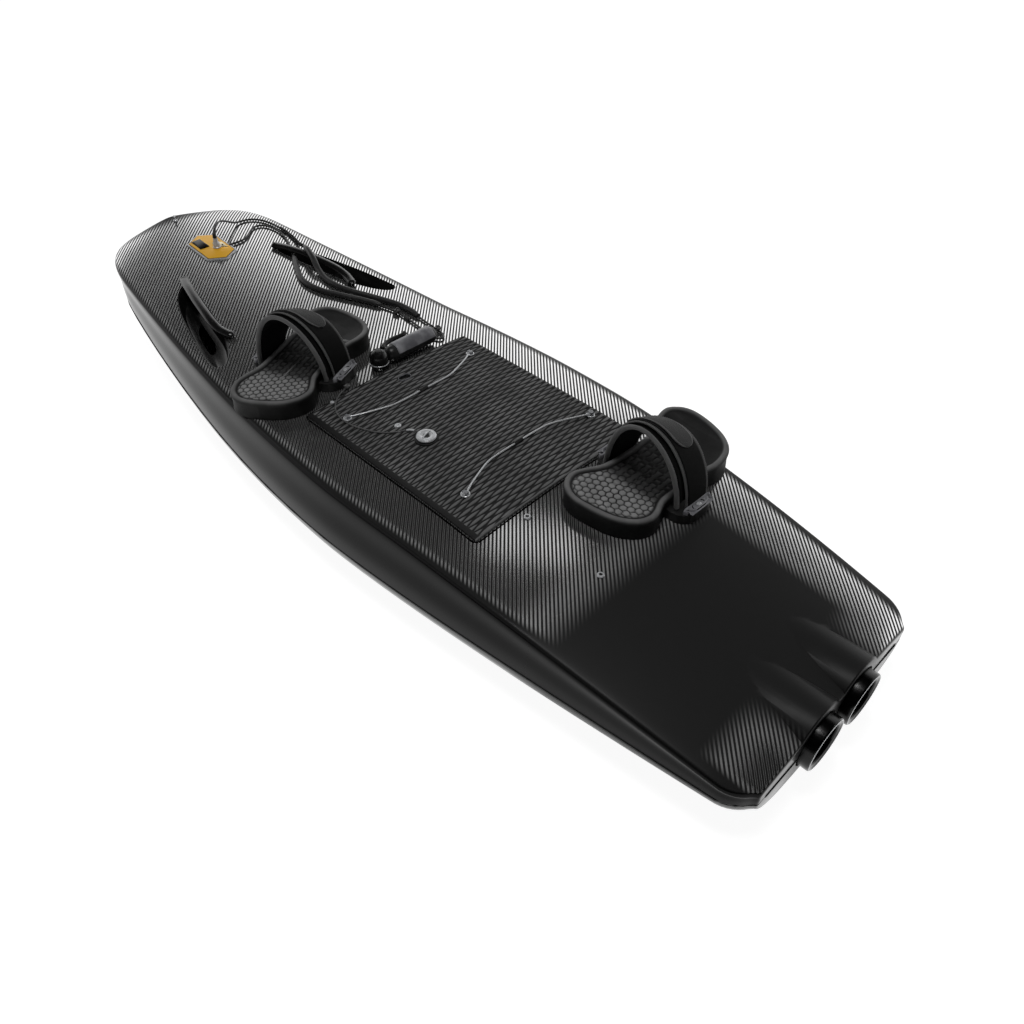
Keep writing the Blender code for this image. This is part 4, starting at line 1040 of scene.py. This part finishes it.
def make_key():
    x, y = KEY_AT
    z = deck_z(x, y)
    r = KEY_R
    profile = [
        (r - 0.002, 0.0068), (r - 0.0004, 0.0076), (r, 0.0090), (r - 0.0006, 0.0110),
        (r - 0.0020, 0.0121), (r - 0.0060, 0.0122), (r - 0.0068, 0.0114), (0.0080, 0.0112),
        (0.0070, 0.0106), (0.0062, 0.0092), (0.001, 0.0090),
    ]
    place_piece(turned("key_disc", (x, y, z), profile, 64), "steel", "stop_key", "stop_key")
    cap = [(0.0001, 0.0092), (0.0058, 0.0092), (0.0056, 0.0104), (0.0040, 0.0112), (0.0001, 0.0114)]
    place_piece(turned("key_magnet", (x, y, z), cap, 40), "black_plastic", "stop_key")
    lever = [
        (x + 0.004, y - 0.012, z + 0.0128), (x + 0.001, y, z + 0.0131),
        (x - 0.003, y + 0.011, z + 0.0128),
    ]
    place_piece(rod("key_lever", smooth(lever, 6), 0.0013, 12), "steel", "stop_key")


def make_hatch_marks():
    """The light grey insert in the finger hole, a small fitting and a round marker."""
    x, y = FINGER_AT
    line = rounded_rect(x, y, 0.0092, 0.0142, 0.0090)
    for name, finish, steps in (
        (
            "finger_rim", "grey_plastic",
            [(0.0, 0.0004), (0.0, 0.0040), (-0.0008, 0.0050), (-0.0018, 0.0046), (-0.0022, 0.0008)],
        ),
        (
            "finger_well", "gloss",
            [(-0.0023, 0.0004), (-0.0023, 0.0030), (-0.0030, 0.0012), (-0.0060, 0.0008)],
        ),
    ):
        slot = "black_plastic" if finish == "gloss" else finish
        place_piece(loft(name, stepped(line, steps)), finish, "hatch", slot=slot)
    for name, (px, py), r in (
        ("hatch_fitting", (-0.064, 0.099), 0.0060),
        ("hatch_marker", (0.082 - 0.006, 0.138), 0.0040),
    ):
        profile = [
            (r, 0.0030), (r, 0.0052), (r * 0.8, 0.0062), (r * 0.5, 0.0062), (r * 0.42, 0.0050),
            (0.0002, 0.0050),
        ]
        place_piece(turned(name, above(px, py, 0), profile, 32), "steel", "hatch")


# ---- bindings ----

PAD_HALF_LINE = [
    (-0.156, 0.004), (-0.154, 0.030), (-0.146, 0.052), (-0.130, 0.070), (-0.108, 0.078),
    (-0.088, 0.074), (-0.070, 0.066), (-0.052, 0.061), (-0.02, 0.060), (0.02, 0.060),
    (0.052, 0.061), (0.070, 0.065), (0.090, 0.071), (0.112, 0.073), (0.132, 0.068), (0.148, 0.055),
    (0.158, 0.036), (0.162, 0.012),
]


def hexagons(u, v, pitch):
    """How far inside its hexagonal cell a point lies: 0 at the cell's edge, 1 at its centre."""
    best = 9.0
    for shift in (0.0, 0.5):
        cu = (u / pitch + shift) % 1.0 - 0.5
        cv = (v / (pitch * 1.732) + shift) % 1.0 - 0.5
        au, av = abs(cu), abs(cv * 1.732)
        best = min(best, max(au, au * 0.5 + av * 0.866))
    return max(0.0, 1 - best * 2)


def make_footpad(prefix, binding, place):
    """A moulded pad: straight wall, rolled rim, and a sunk sole of raised hexagons; its tone is a
    painted highlight on the rim's top and the hexagons, and painted shade under the strap.
    """
    forward, toe_rise = binding[4], binding[3]
    both = PAD_HALF_LINE + [(u, -v) for u, v in PAD_HALF_LINE[::-1]]
    line = closed_curve(
        [(u * (1 + PAD_SKEW * v), v + forward * min(1.0, abs(u) / 0.11) ** 2) for u, v in both], 8,
    )
    spine = [(max(-0.085, min(0.092, u)), forward * min(1.0, abs(u) / 0.11) ** 2) for u, _ in line]
    edge = [0.0, 0.0006, 0.0020, 0.0040, 0.0080, 0.0096, 0.0110]
    inner = [0.0110 + (1.0 - 0.0110) * k / 46 for k in range(1, 46)]
    loops, tone, uv = [], [], []

    def add(d, height, shade):
        ring = []
        for (u, v), (su, sv) in zip(line, spine):
            reach = math.hypot(u - su, v - sv)
            rim = 0.011 / reach
            part = 1 - (d / reach if d < 0.0111 else rim + (1 - rim) * (d - 0.011) / 0.989)
            pu, pv = su + (u - su) * part, sv + (v - sv) * part
            x, y = place(pu, pv)
            rise = toe_rise * ramp(pu, 0.050, 0.080) ** 1.5
            cell = hexagons(pu, pv, 0.0125)
            h, t = height(cell, pu, reach * (1 - part)) if callable(height) else (height, shade)
            ring.append(above(x, y, h if h < 0.002 else h + rise))
            tone.append(t)
            uv.append((pu, pv))
        loops.append(ring)

    def sole(cell, u, d):
        raised = ramp(cell, 0.10, 0.16) * ramp(d, 0.0135, 0.003)
        if u > 0.075:
            raised = 0.0
        dish = 0.0025 * ramp(d, 0.011, 0.03)
        # painted shade: the sole is painted darker under the strap, where the foot tunnel is in
        # shadow
        wear_and_painted_shade = 0.15 + 0.85 * ramp(abs(u + 0.004), 0.056, 0.020)
        deep = dish * (1.8 if u > 0.05 else 0.6)
        # painted highlight: the raised hexagons' tops are painted paler than the sole between them
        return PAD_HEIGHT - 0.0034 - deep + 0.0016 * raised, (0.03 + 0.72 * raised) * wear_and_painted_shade

    add(0.0, 0.0008, 0.0)
    for k in range(1, 6):
        add(0.0014 * math.sin(k / 6 * math.pi), 0.0008 + (PAD_HEIGHT - 0.0058) * k / 6, 0.0)
    # painted highlight: the rim's tone is palest along its top and dark down its sides, as light
    # falls on it
    for d, h, shade in zip(
        edge, (0.0050, 0.0026, 0.0009, 0.0, 0.0, 0.0009, 0.0028),
        (0.02, 0.10, 0.30, 0.42, 0.42, 0.25, 0.05),
    ):
        add(d, PAD_HEIGHT - h, shade)
    for d in inner:
        add(d, sole, 0)
    pad = loft(prefix + "_pad", loops, 50, tone=tone, uv=uv)
    place_piece(pad, "pad_rubber", nodes=prefix + "_footpad")


def arch(place, u, degrees, out):
    """A point out from the arch inside a strap, u along the foot and some degrees round it."""
    t = math.radians(degrees)
    rise = ARCH_B * (1 - TOE_FALL * (u - STRAP_U[0]) / (STRAP_U[1] - STRAP_U[0]))
    nv, nh = math.cos(t) / ARCH_A, math.sin(t) / rise
    k = out / math.hypot(nv, nh)
    return place(
        u, ARCH_A * math.cos(t) + nv * k, PLATE_THICK - ARCH_SINK + rise * math.sin(t) + nh * k,
    )


def band(
    name, place, grow, thick, span, turnout, taper, crown=0.0, round_end=False, edge_tone=0.9,
    about=None,
):
    """A strip of cloth bent over the foot, its edges rolled, narrowing about its own middle
    or about a given one."""
    (u0, u1), (t0, t1) = span, turnout
    middle, half, r, steps = (u0 + u1) / 2, (u1 - u0) / 2, thick / 2, 72
    loops, tone, uv = [], [], []
    cells = [(-1 + 2 * k / 12, 1.0) for k in range(13)]
    curl = [math.pi * k / 6 for k in range(1, 6)]
    profile = [(p, q, 0) for p, q in cells] + [(1.0, math.cos(a), math.sin(a)) for a in curl]
    profile += [(-p, -q, 0) for p, q in cells] + [(-1.0, -math.cos(a), -math.sin(a)) for a in curl]
    for i in range(steps + 1):
        degrees = t0 + (t1 - t0) * i / steps
        narrow = 1 - taper * abs(math.cos(math.radians(degrees))) ** 2
        w = half * narrow if about is None else half
        mid = middle if about is None else about + (middle - about) * narrow
        run = math.radians(t1 - degrees) * 0.11
        if round_end and run < w:
            w = max(0.0016, math.sqrt(max(0.0, w * w - (w - run) ** 2)))
        ring = []
        for p, q, s in profile:
            across = p * (w - r) + s * r
            swell = crown * (1 - p * p) * max(0.0, q)
            ring.append(arch(place, mid + across, degrees, grow + r + q * r + swell))
            tone.append(edge_tone if abs(p) > 0.86 else 0.0)
            uv.append((math.radians(degrees) * 0.11, across))
        loops.append(ring)
    return loft(name, loops, 60, tone=tone, uv=uv)


def stitches(name, place, out, line):
    """Short threads along a line of (u, degrees) points on a strap."""
    verts, faces = [], []
    for (u0, t0), (u1, t1) in line:
        a, b = Vector(arch(place, u0, t0, out)), Vector(arch(place, u1, t1, out))
        up = (Vector(arch(place, u0, t0, out + 0.01)) - a).normalized()
        ahead = (b - a).normalized()
        side = ahead.cross(up)
        start = len(verts)
        for part, width in ((0.0, 0.35), (0.25, 1.0), (0.75, 1.0), (1.0, 0.35)):
            at = a.lerp(b, part)
            for c, s in ((1, 0), (0, 1), (-1, 0), (0, -1)):
                verts.append(at + (side * c + up * s) * THREAD_R * width)
        for k in range(3):
            for j in range(4):
                p, q = start + 4 * k + j, start + 4 * k + (j + 1) % 4
                faces.append((p, q, q + 4, p + 4))
        faces += [tuple(range(start, start + 4)), tuple(range(start + 12, start + 16))]
    return make_mesh(name, verts, faces)


def seam_line(u, t0, t1, count):
    step = (t1 - t0) / count
    return [((u, t0 + step * i), (u, t0 + step * (i + 0.62))) for i in range(count)]


def puff(obj, hold):
    """Lets the liner's foam swell in a short cloth run, held down where the strap crosses."""
    scene = bpy.context.scene
    remesh = obj.modifiers.new("remesh", "REMESH")
    remesh.mode, remesh.voxel_size = "VOXEL", 0.0042
    graph = bpy.context.evaluated_depsgraph_get()
    obj.data = bpy.data.meshes.new_from_object(obj.evaluated_get(graph))
    obj.modifiers.clear()
    start = [v.co.copy() for v in obj.data.vertices]
    cloth = obj.modifiers.new("cloth", "CLOTH")
    cloth.settings.use_pressure, cloth.settings.uniform_pressure_force = True, 4.0
    cloth.settings.effector_weights.gravity = 0.0
    for frame_number in range(1, 21):
        scene.frame_set(frame_number)
    graph = bpy.context.evaluated_depsgraph_get()
    swollen = bpy.data.meshes.new_from_object(obj.evaluated_get(graph))
    scene.frame_set(1)
    obj.modifiers.clear()
    obj.data = swollen
    for vertex, before in zip(obj.data.vertices, start):
        move = vertex.co - before
        cap = hold(before)
        if move.length > cap:
            vertex.co = before + move * (cap / move.length)
    smoothing = obj.modifiers.new("smooth", "SMOOTH")
    smoothing.iterations, smoothing.factor = 4, 0.5
    obj.modifiers.new("finer", "SUBSURF").levels = 1
    obj.modifiers["finer"].render_levels = 1
    obj.data.shade_smooth()


def make_binding(prefix, binding):
    place = foot_frame(binding)
    make_footpad(prefix, binding, place)
    u0, u1 = STRAP_U
    liner = band(
        prefix + "_liner", place, 0.0008, LINER_THICK - 0.0014, (u0, u1), (8.0, 172.0), 0.28,
    )
    base = [
        Vector(arch(place, (u0 + u1) / 2, t, LINER_THICK)) + Vector((ORIGIN_X, 0, 0))
        for t in range(8, 173, 4)
    ]
    along = Vector((*place(1.0, 0.0), 0.0)) - Vector((*place(0.0, 0.0), 0.0))

    def hold(point):
        u = (point - min(base, key=lambda b: (b - point).length_squared)).dot(along)
        return 0.0006 if -0.034 < u < 0.044 else 0.0035

    puff(liner, hold)
    place_piece(liner, "liner_foam", nodes=prefix + "_strap_liner")
    for tag, u, w in (("fore", u1 - 0.003, 0.003), ("aft", u0 + 0.003, 0.0045)):
        trim = band(
            f"{prefix}_edging_{tag}", place, 0.0006, LINER_THICK - 0.0002, (u - w, u + w), (6, 174),
            0.28, edge_tone=1.0, about=(u0 + u1) / 2
        )
        place_piece(trim, "webbing", slot="liner_foam")
    grow = LINER_THICK + LAYER_GAP
    strap = band(
        prefix + "_webbing", place, grow, STRAP_THICK, (u0 + 0.018, u1 - 0.006), (3.0, 177.0), 0.30,
        0.0006,
    )
    place_piece(strap, "webbing", nodes=prefix + "_strap")
    over = band(
        prefix + "_overstrap", place, grow + STRAP_THICK - 0.0002, 0.0018, (u0 + 0.026, u1 - 0.018),
        (3.0, 177.0), 0.25, 0.0005, edge_tone=0.0,
    )
    place_piece(over, "liner_foam", slot="webbing")
    grow += STRAP_THICK + 0.0016
    tab = band(
        prefix + "_tab", place, grow, TAB_THICK, (u0 + 0.034, u1 - 0.020), (58.0, 124.0), 0.1,
        0.0006, True,
    )
    place_piece(tab, "webbing", nodes=prefix + "_strap_tab")
    mid = (u0 + u1) / 2
    lines = seam_line(u0 + 0.039, 62, 112, 24) + seam_line(u1 - 0.025, 62, 112, 24)
    ends = [
        (mid + 0.007 + 0.0215 * math.cos(a), 112 + 7.5 * math.sin(a))
        for a in (math.pi * k / 14 for k in range(15))
    ]
    lines += [
        (a, (a[0] + (b[0] - a[0]) * 0.62, a[1] + (b[1] - a[1]) * 0.62))
        for a, b in zip(ends, ends[1:])
    ]
    thread = stitches(prefix + "_tab_stitches", place, grow + TAB_THICK + 0.0004, lines)
    place_piece(thread, "thread", slot="webbing")
    edges = []
    for t in range(8, 172, 2):
        w = 1 - 0.30 * math.cos(math.radians(t)) ** 2
        edges += [
            ((mid + 0.006 + s * 0.0385 * w, t), (mid + 0.006 + s * 0.0385 * w, t + 1.25))
            for s in (-1, 1)
        ]
    edge_thread = stitches(
        prefix + "_strap_stitches", place, LINER_THICK + LAYER_GAP + STRAP_THICK + 0.0005, edges,
    )
    place_piece(edge_thread, "thread", slot="webbing")
    for tag, s in (("fore", 1), ("aft", -1)):
        make_bracket(prefix, tag, s, place)


def make_bracket(prefix, tag, s, place):
    """A D-shaped ear with a raised rim, a dark oval recess and a screw in it."""
    v0, v1 = ARCH_A + LINER_THICK + LAYER_GAP + STRAP_THICK + 0.0006, PLATE_HALF[1] - 0.001
    ear = [
        (-0.034, v0), (-0.036, v0 + 0.008), (-0.030, v1 - 0.006), (-0.020, v1 - 0.001),
        (0.012, v1 - 0.001), (0.022, v1 - 0.006), (0.028, v0 + 0.008), (0.026, v0),
    ]
    line = closed_curve([place(u, s * v) for u, v in ear], 6)
    top = PLATE_THICK + 0.0075
    steps = [
        (0.0, PLATE_THICK + 0.0003), (0.0, top - 0.0014), (-0.0006, top - 0.0004), (-0.0016, top),
        (-0.0026, top - 0.0004), (-0.0034, top - 0.0016), (-0.0046, top - 0.0030),
        (-0.0080, top - 0.0034),
    ]
    body = loft(f"{prefix}_ear_{tag}", stepped(line, steps))
    place_piece(body, "grey_plastic", nodes=f"{prefix}_bracket_{tag}")
    mid = (v0 + v1) / 2 + 0.001
    oval = [place(u - 0.004, s * v) for u, v in rounded_rect(0.0, mid, 0.0150, 0.0062, 0.0060)]
    steps = [
        (0.0, top - 0.0040), (0.0, top - 0.0022), (-0.0010, top - 0.0018), (-0.0020, top - 0.0034),
    ]
    place_piece(loft(f"{prefix}_slot_{tag}", stepped(oval, steps)), "gloss", slot="black_plastic")
    x, y = place(-0.004, s * mid)
    profile = [
        (0.0044, -0.0040), (0.0044, -0.0014), (0.0036, -0.0004), (0.0020, 0.0), (0.0019, -0.0016),
        (0.0001, -0.0016),
    ]
    screw = turned(f"{prefix}_bolt_{tag}", above(x, y, top), profile, 24)
    place_piece(screw, "steel", nodes=f"{prefix}_screw_{tag}")


# ---- nose ----


def make_nose():
    """The hexagonal plate with its pale border, facets and plug, and the post at the tip."""
    hexagon = [
        (0.774, 0.000), (0.752, 0.037), (0.668, 0.037), (0.646, 0.000), (0.668, -0.037),
        (0.752, -0.037),
    ]

    def plate(name, outline, low, top, finish, slot="gold", **extra):
        steps = [(0.0, low), (0.0, top - 0.0008), (-0.0003, top - 0.0002), (-0.0010, top)]
        place_piece(loft(name, stepped(outline, steps), 25), finish, slot=slot, **extra)

    def dense(points):
        """The outline with each side in six."""
        return [
            (a[0] + (b[0] - a[0]) * k / 6, a[1] + (b[1] - a[1]) * k / 6)
            for a, b in zip(points, points[1:] + points[:1])
            for k in range(6)
        ]

    plate("plaque_rim", dense(hexagon), 0.0003, 0.0040, "steel")
    plate("plaque_border", dense(grown(hexagon, -0.0030)), 0.0030, 0.0044, "black_plastic")
    plate("plaque", dense(grown(hexagon, -0.0048)), 0.0030, 0.0050, "gold", nodes="tether_plate")
    plate(
        "plaque_facet", dense([(0.722, -0.008), (0.712, -0.028), (0.686, -0.028), (0.694, -0.014)]),
        0.0045, 0.0058, "pale_gold",
    )
    plate(
        "plaque_inset", dense([(0.752, 0.026), (0.752, 0.004), (0.712, 0.004), (0.712, 0.026)]),
        0.0045, 0.0062, "dark_alloy", slot="alloy",
    )
    x, y = 0.700, -0.022
    dot = turned(
        "plaque_pin", above(x, y, 0), [(0.0018, 0.0055), (0.0018, 0.0066), (0.0001, 0.0068)], 20,
    )
    place_piece(dot, "black_plastic")
    x, y = 0.700, -0.008
    profile = [
        (0.0094, 0.0048), (0.0094, 0.0062), (0.0080, 0.0072), (0.0075, 0.0078), (0.0075, 0.0145),
        (0.0066, 0.0160), (0.0054, 0.0188), (0.0054, 0.0205), (0.0046, 0.0258),
    ]
    plug = turned("plug_body", above(x, y, 0), profile, 40)
    place_piece(plug, "steel", nodes="tether_plug", slot="grey_plastic")
    x = 0.866
    profile = [
        (0.0050, 0.0006), (0.0050, 0.0026), (0.0042, 0.0036), (0.0026, 0.0046), (0.0022, 0.0060),
        (0.0022, 0.0090), (0.0030, 0.0108), (0.0035, 0.0122), (0.0031, 0.0134), (0.0001, 0.0136),
    ]
    place_piece(turned("peg", above(x, 0.0, 0), profile, 32), "steel", nodes="nose_peg")
    inlet = turned(
        "plate_gland", above(0.694, -0.0385, 0),
        [(0.0042, 0.0004), (0.0042, 0.0030), (0.0030, 0.0056), (0.0001, 0.0058)], 24,
    )
    place_piece(inlet, "black_plastic")


# ---- handset ----


def make_handset():
    y0, y1 = GRIP_Y
    r, z = GRIP_R, deck_z(GRIP_X, -0.06) + GRIP_R + 0.0012

    def ring(y, part):
        q = r * part
        return [(GRIP_X + q * math.cos(a), y, z + q * math.sin(a)) for a in turn(48)]

    ends = [(0.0, 0.50), (0.001, 0.60), (0.004, 0.82), (0.008, 0.93), (0.012, 0.97)]
    loops = [ring(y0 + d, p) for d, p in ends]
    for k in range(1, 30):
        rib = 0.022 * (k % 3 == 0)
        loops.append(ring(y0 + 0.014 + k * 0.003, 1.0 - rib))
    loops += [
        ring(y1 - d, p) for d, p in ((0.012, 0.94), (0.006, 0.90), (0.002, 0.72), (0.0, 0.50))
    ]
    place_piece(loft("handset_grip", loops, 40), "black_plastic", nodes="grip_body")
    verts = []
    for y, part in (
        (y0 + 0.010, 1.00), (y0 + 0.0112, 1.09), (y0 + 0.014, 1.13), (y1 - 0.022, 1.13),
        (y1 - 0.019, 1.08), (y1 - 0.018, 1.0),
    ):
        outer = [(r * part + 0.0003, math.radians(14 + 152 * k / 32)) for k in range(33)]
        inner = [(r + 0.0003, a) for _, a in outer[::-1]]
        verts.append([(GRIP_X + q * math.cos(a), y, z + q * math.sin(a)) for q, a in outer + inner])
    place_piece(loft("handset_cover", verts, 40), "grey_plastic", nodes="grip_cover")
    head_y = y1 + 0.0190
    profile = [
        (0.0100, 0.0), (0.0150, 0.0014), (0.0172, 0.005), (0.0180, 0.012), (0.0178, 0.020),
        (0.0170, 0.026), (0.0150, 0.0315), (0.0120, 0.0345), (0.0116, 0.0338), (0.0070, 0.0350),
        (0.0064, 0.0370), (0.0001, 0.0372),
    ]
    place = (GRIP_X - 0.001, head_y, deck_z(GRIP_X, head_y) + 0.0013)
    head = turned("handset_head", place, profile, 48)
    place_piece(head, "gloss", nodes="grip_head", slot="black_plastic")
    band_ring = turned(
        "handset_ring", place,
        [(0.0177, 0.0100), (0.0184, 0.0105), (0.0184, 0.0120), (0.0177, 0.0125)], 48,
    )
    place_piece(band_ring, "steel")
    px, pz, pin_y = GRIP_X + r + 0.0078, z + 0.002, y1 - 0.008
    bends = ((0.0, 0.0), (0.008, 0.014), (0.012, 0.034), (0.010, 0.056), (0.014, 0.070))
    path = smooth([(px + dx, pin_y - dy, pz) for dx, dy in bends], 8)
    lever = rod("throttle_lever", path, lambda t: 0.0048 * min(1.0, 0.6 + 9 * min(t, 1 - t)), 20)
    place_piece(lever, "black_plastic", "grip_trigger", "grip_trigger")


# ---- jets and plugs ----


def make_jets():
    def rings(x, y, profile):
        return [
            [(x + h, y + q * math.cos(a), JET_Z + q * math.sin(a)) for a in turn(96)]
            for q, h in profile
        ]

    for tag, s in SIDES:
        y = s * JET_Y
        profile = [
            (NOZZLE_BORE + 0.0030, 0.0197), (NOZZLE_R, 0.0197), (NOZZLE_R, 0.0030),
            (NOZZLE_R - 0.0004, 0.0016), (NOZZLE_R - 0.0014, 0.0004), (NOZZLE_R - 0.0026, 0.0),
            (NOZZLE_R - 0.0046, 0.0), (NOZZLE_R - 0.0058, 0.0009),
        ]
        profile += [
            (NOZZLE_BORE + 0.0030, 0.0014), (NOZZLE_BORE + 0.0012, 0.0022), (NOZZLE_BORE, 0.0040),
            (NOZZLE_BORE, 0.0150),
        ]
        nozzle = loft("nozzle_" + tag, rings(-0.9100, y, profile), 28, closed=True, caps=False)
        place_piece(nozzle, "dark_alloy", nodes="jet_nozzle_" + tag, slot="alloy")
        profile = [
            (NOZZLE_R - 0.0014, 0.0005), (NOZZLE_R - 0.0024, 0.0), (NOZZLE_R - 0.0034, 0.0004),
            (NOZZLE_R - 0.0024, 0.0010),
        ]
        lip = loft("nozzle_lip_" + tag, rings(-0.9102, y, profile), closed=True, caps=False)
        place_piece(lip, "steel", slot="alloy")
    for tag, (x, y) in (("fore", (-0.381, 0.098)), ("aft", (-0.536, 0.100))):
        profile = [
            (0.0060, 0.0003), (0.0059, 0.0016), (0.0050, 0.0027), (0.0036, 0.0031),
            (0.0030, 0.0030), (0.0026, 0.0018), (0.0001, 0.0018),
        ]
        rivet = turned("deck_rivet_" + tag, above(x, y, 0), profile, 32)
        place_piece(rivet, "steel", nodes="deck_plug_" + tag)
        core = [
            (0.0001, 0.0017), (0.0027, 0.0017), (0.0026, 0.0024), (0.0018, 0.0027),
            (0.0001, 0.0027),
        ]
        place_piece(turned("deck_rivet_core_" + tag, above(x, y, 0), core, 24), "black_plastic")


make_shells()
make_cups()
make_hatch_pad()
make_bail("front", FRONT_BAIL)
make_bail("rear", REAR_BAIL)
make_key()
make_hatch_marks()
make_binding("front", FRONT_BINDING)
make_binding("rear", REAR_BINDING)
make_nose()
make_handset()
make_jets()

# ---- CAD nodes that stay: each gets the finish of its kind ----

KEPT = {
    "carbon": ["hatch_lid"],
    "seal_rubber": ["rail_gasket", "hatch_seal"],
    "black_plastic": [
        "hatch_frame", "key_socket", "front_base_plate", "rear_base_plate", "battery_pack",
    ],
    "steel": ["impeller_port", "impeller_starboard", "intake_grate_port", "intake_grate_starboard"],
    "alloy": [
        "motor_port", "motor_starboard", "motor_controller",
    ] + ["eyelet_" + name for name in eye_places()],
    "dark_alloy": ["pump_housing_port", "pump_housing_starboard"],
}
for finish, nodes in KEPT.items():
    for name in nodes:
        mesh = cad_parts[name].data
        mesh.materials.clear()
        mesh.materials.append(FINISH[finish])
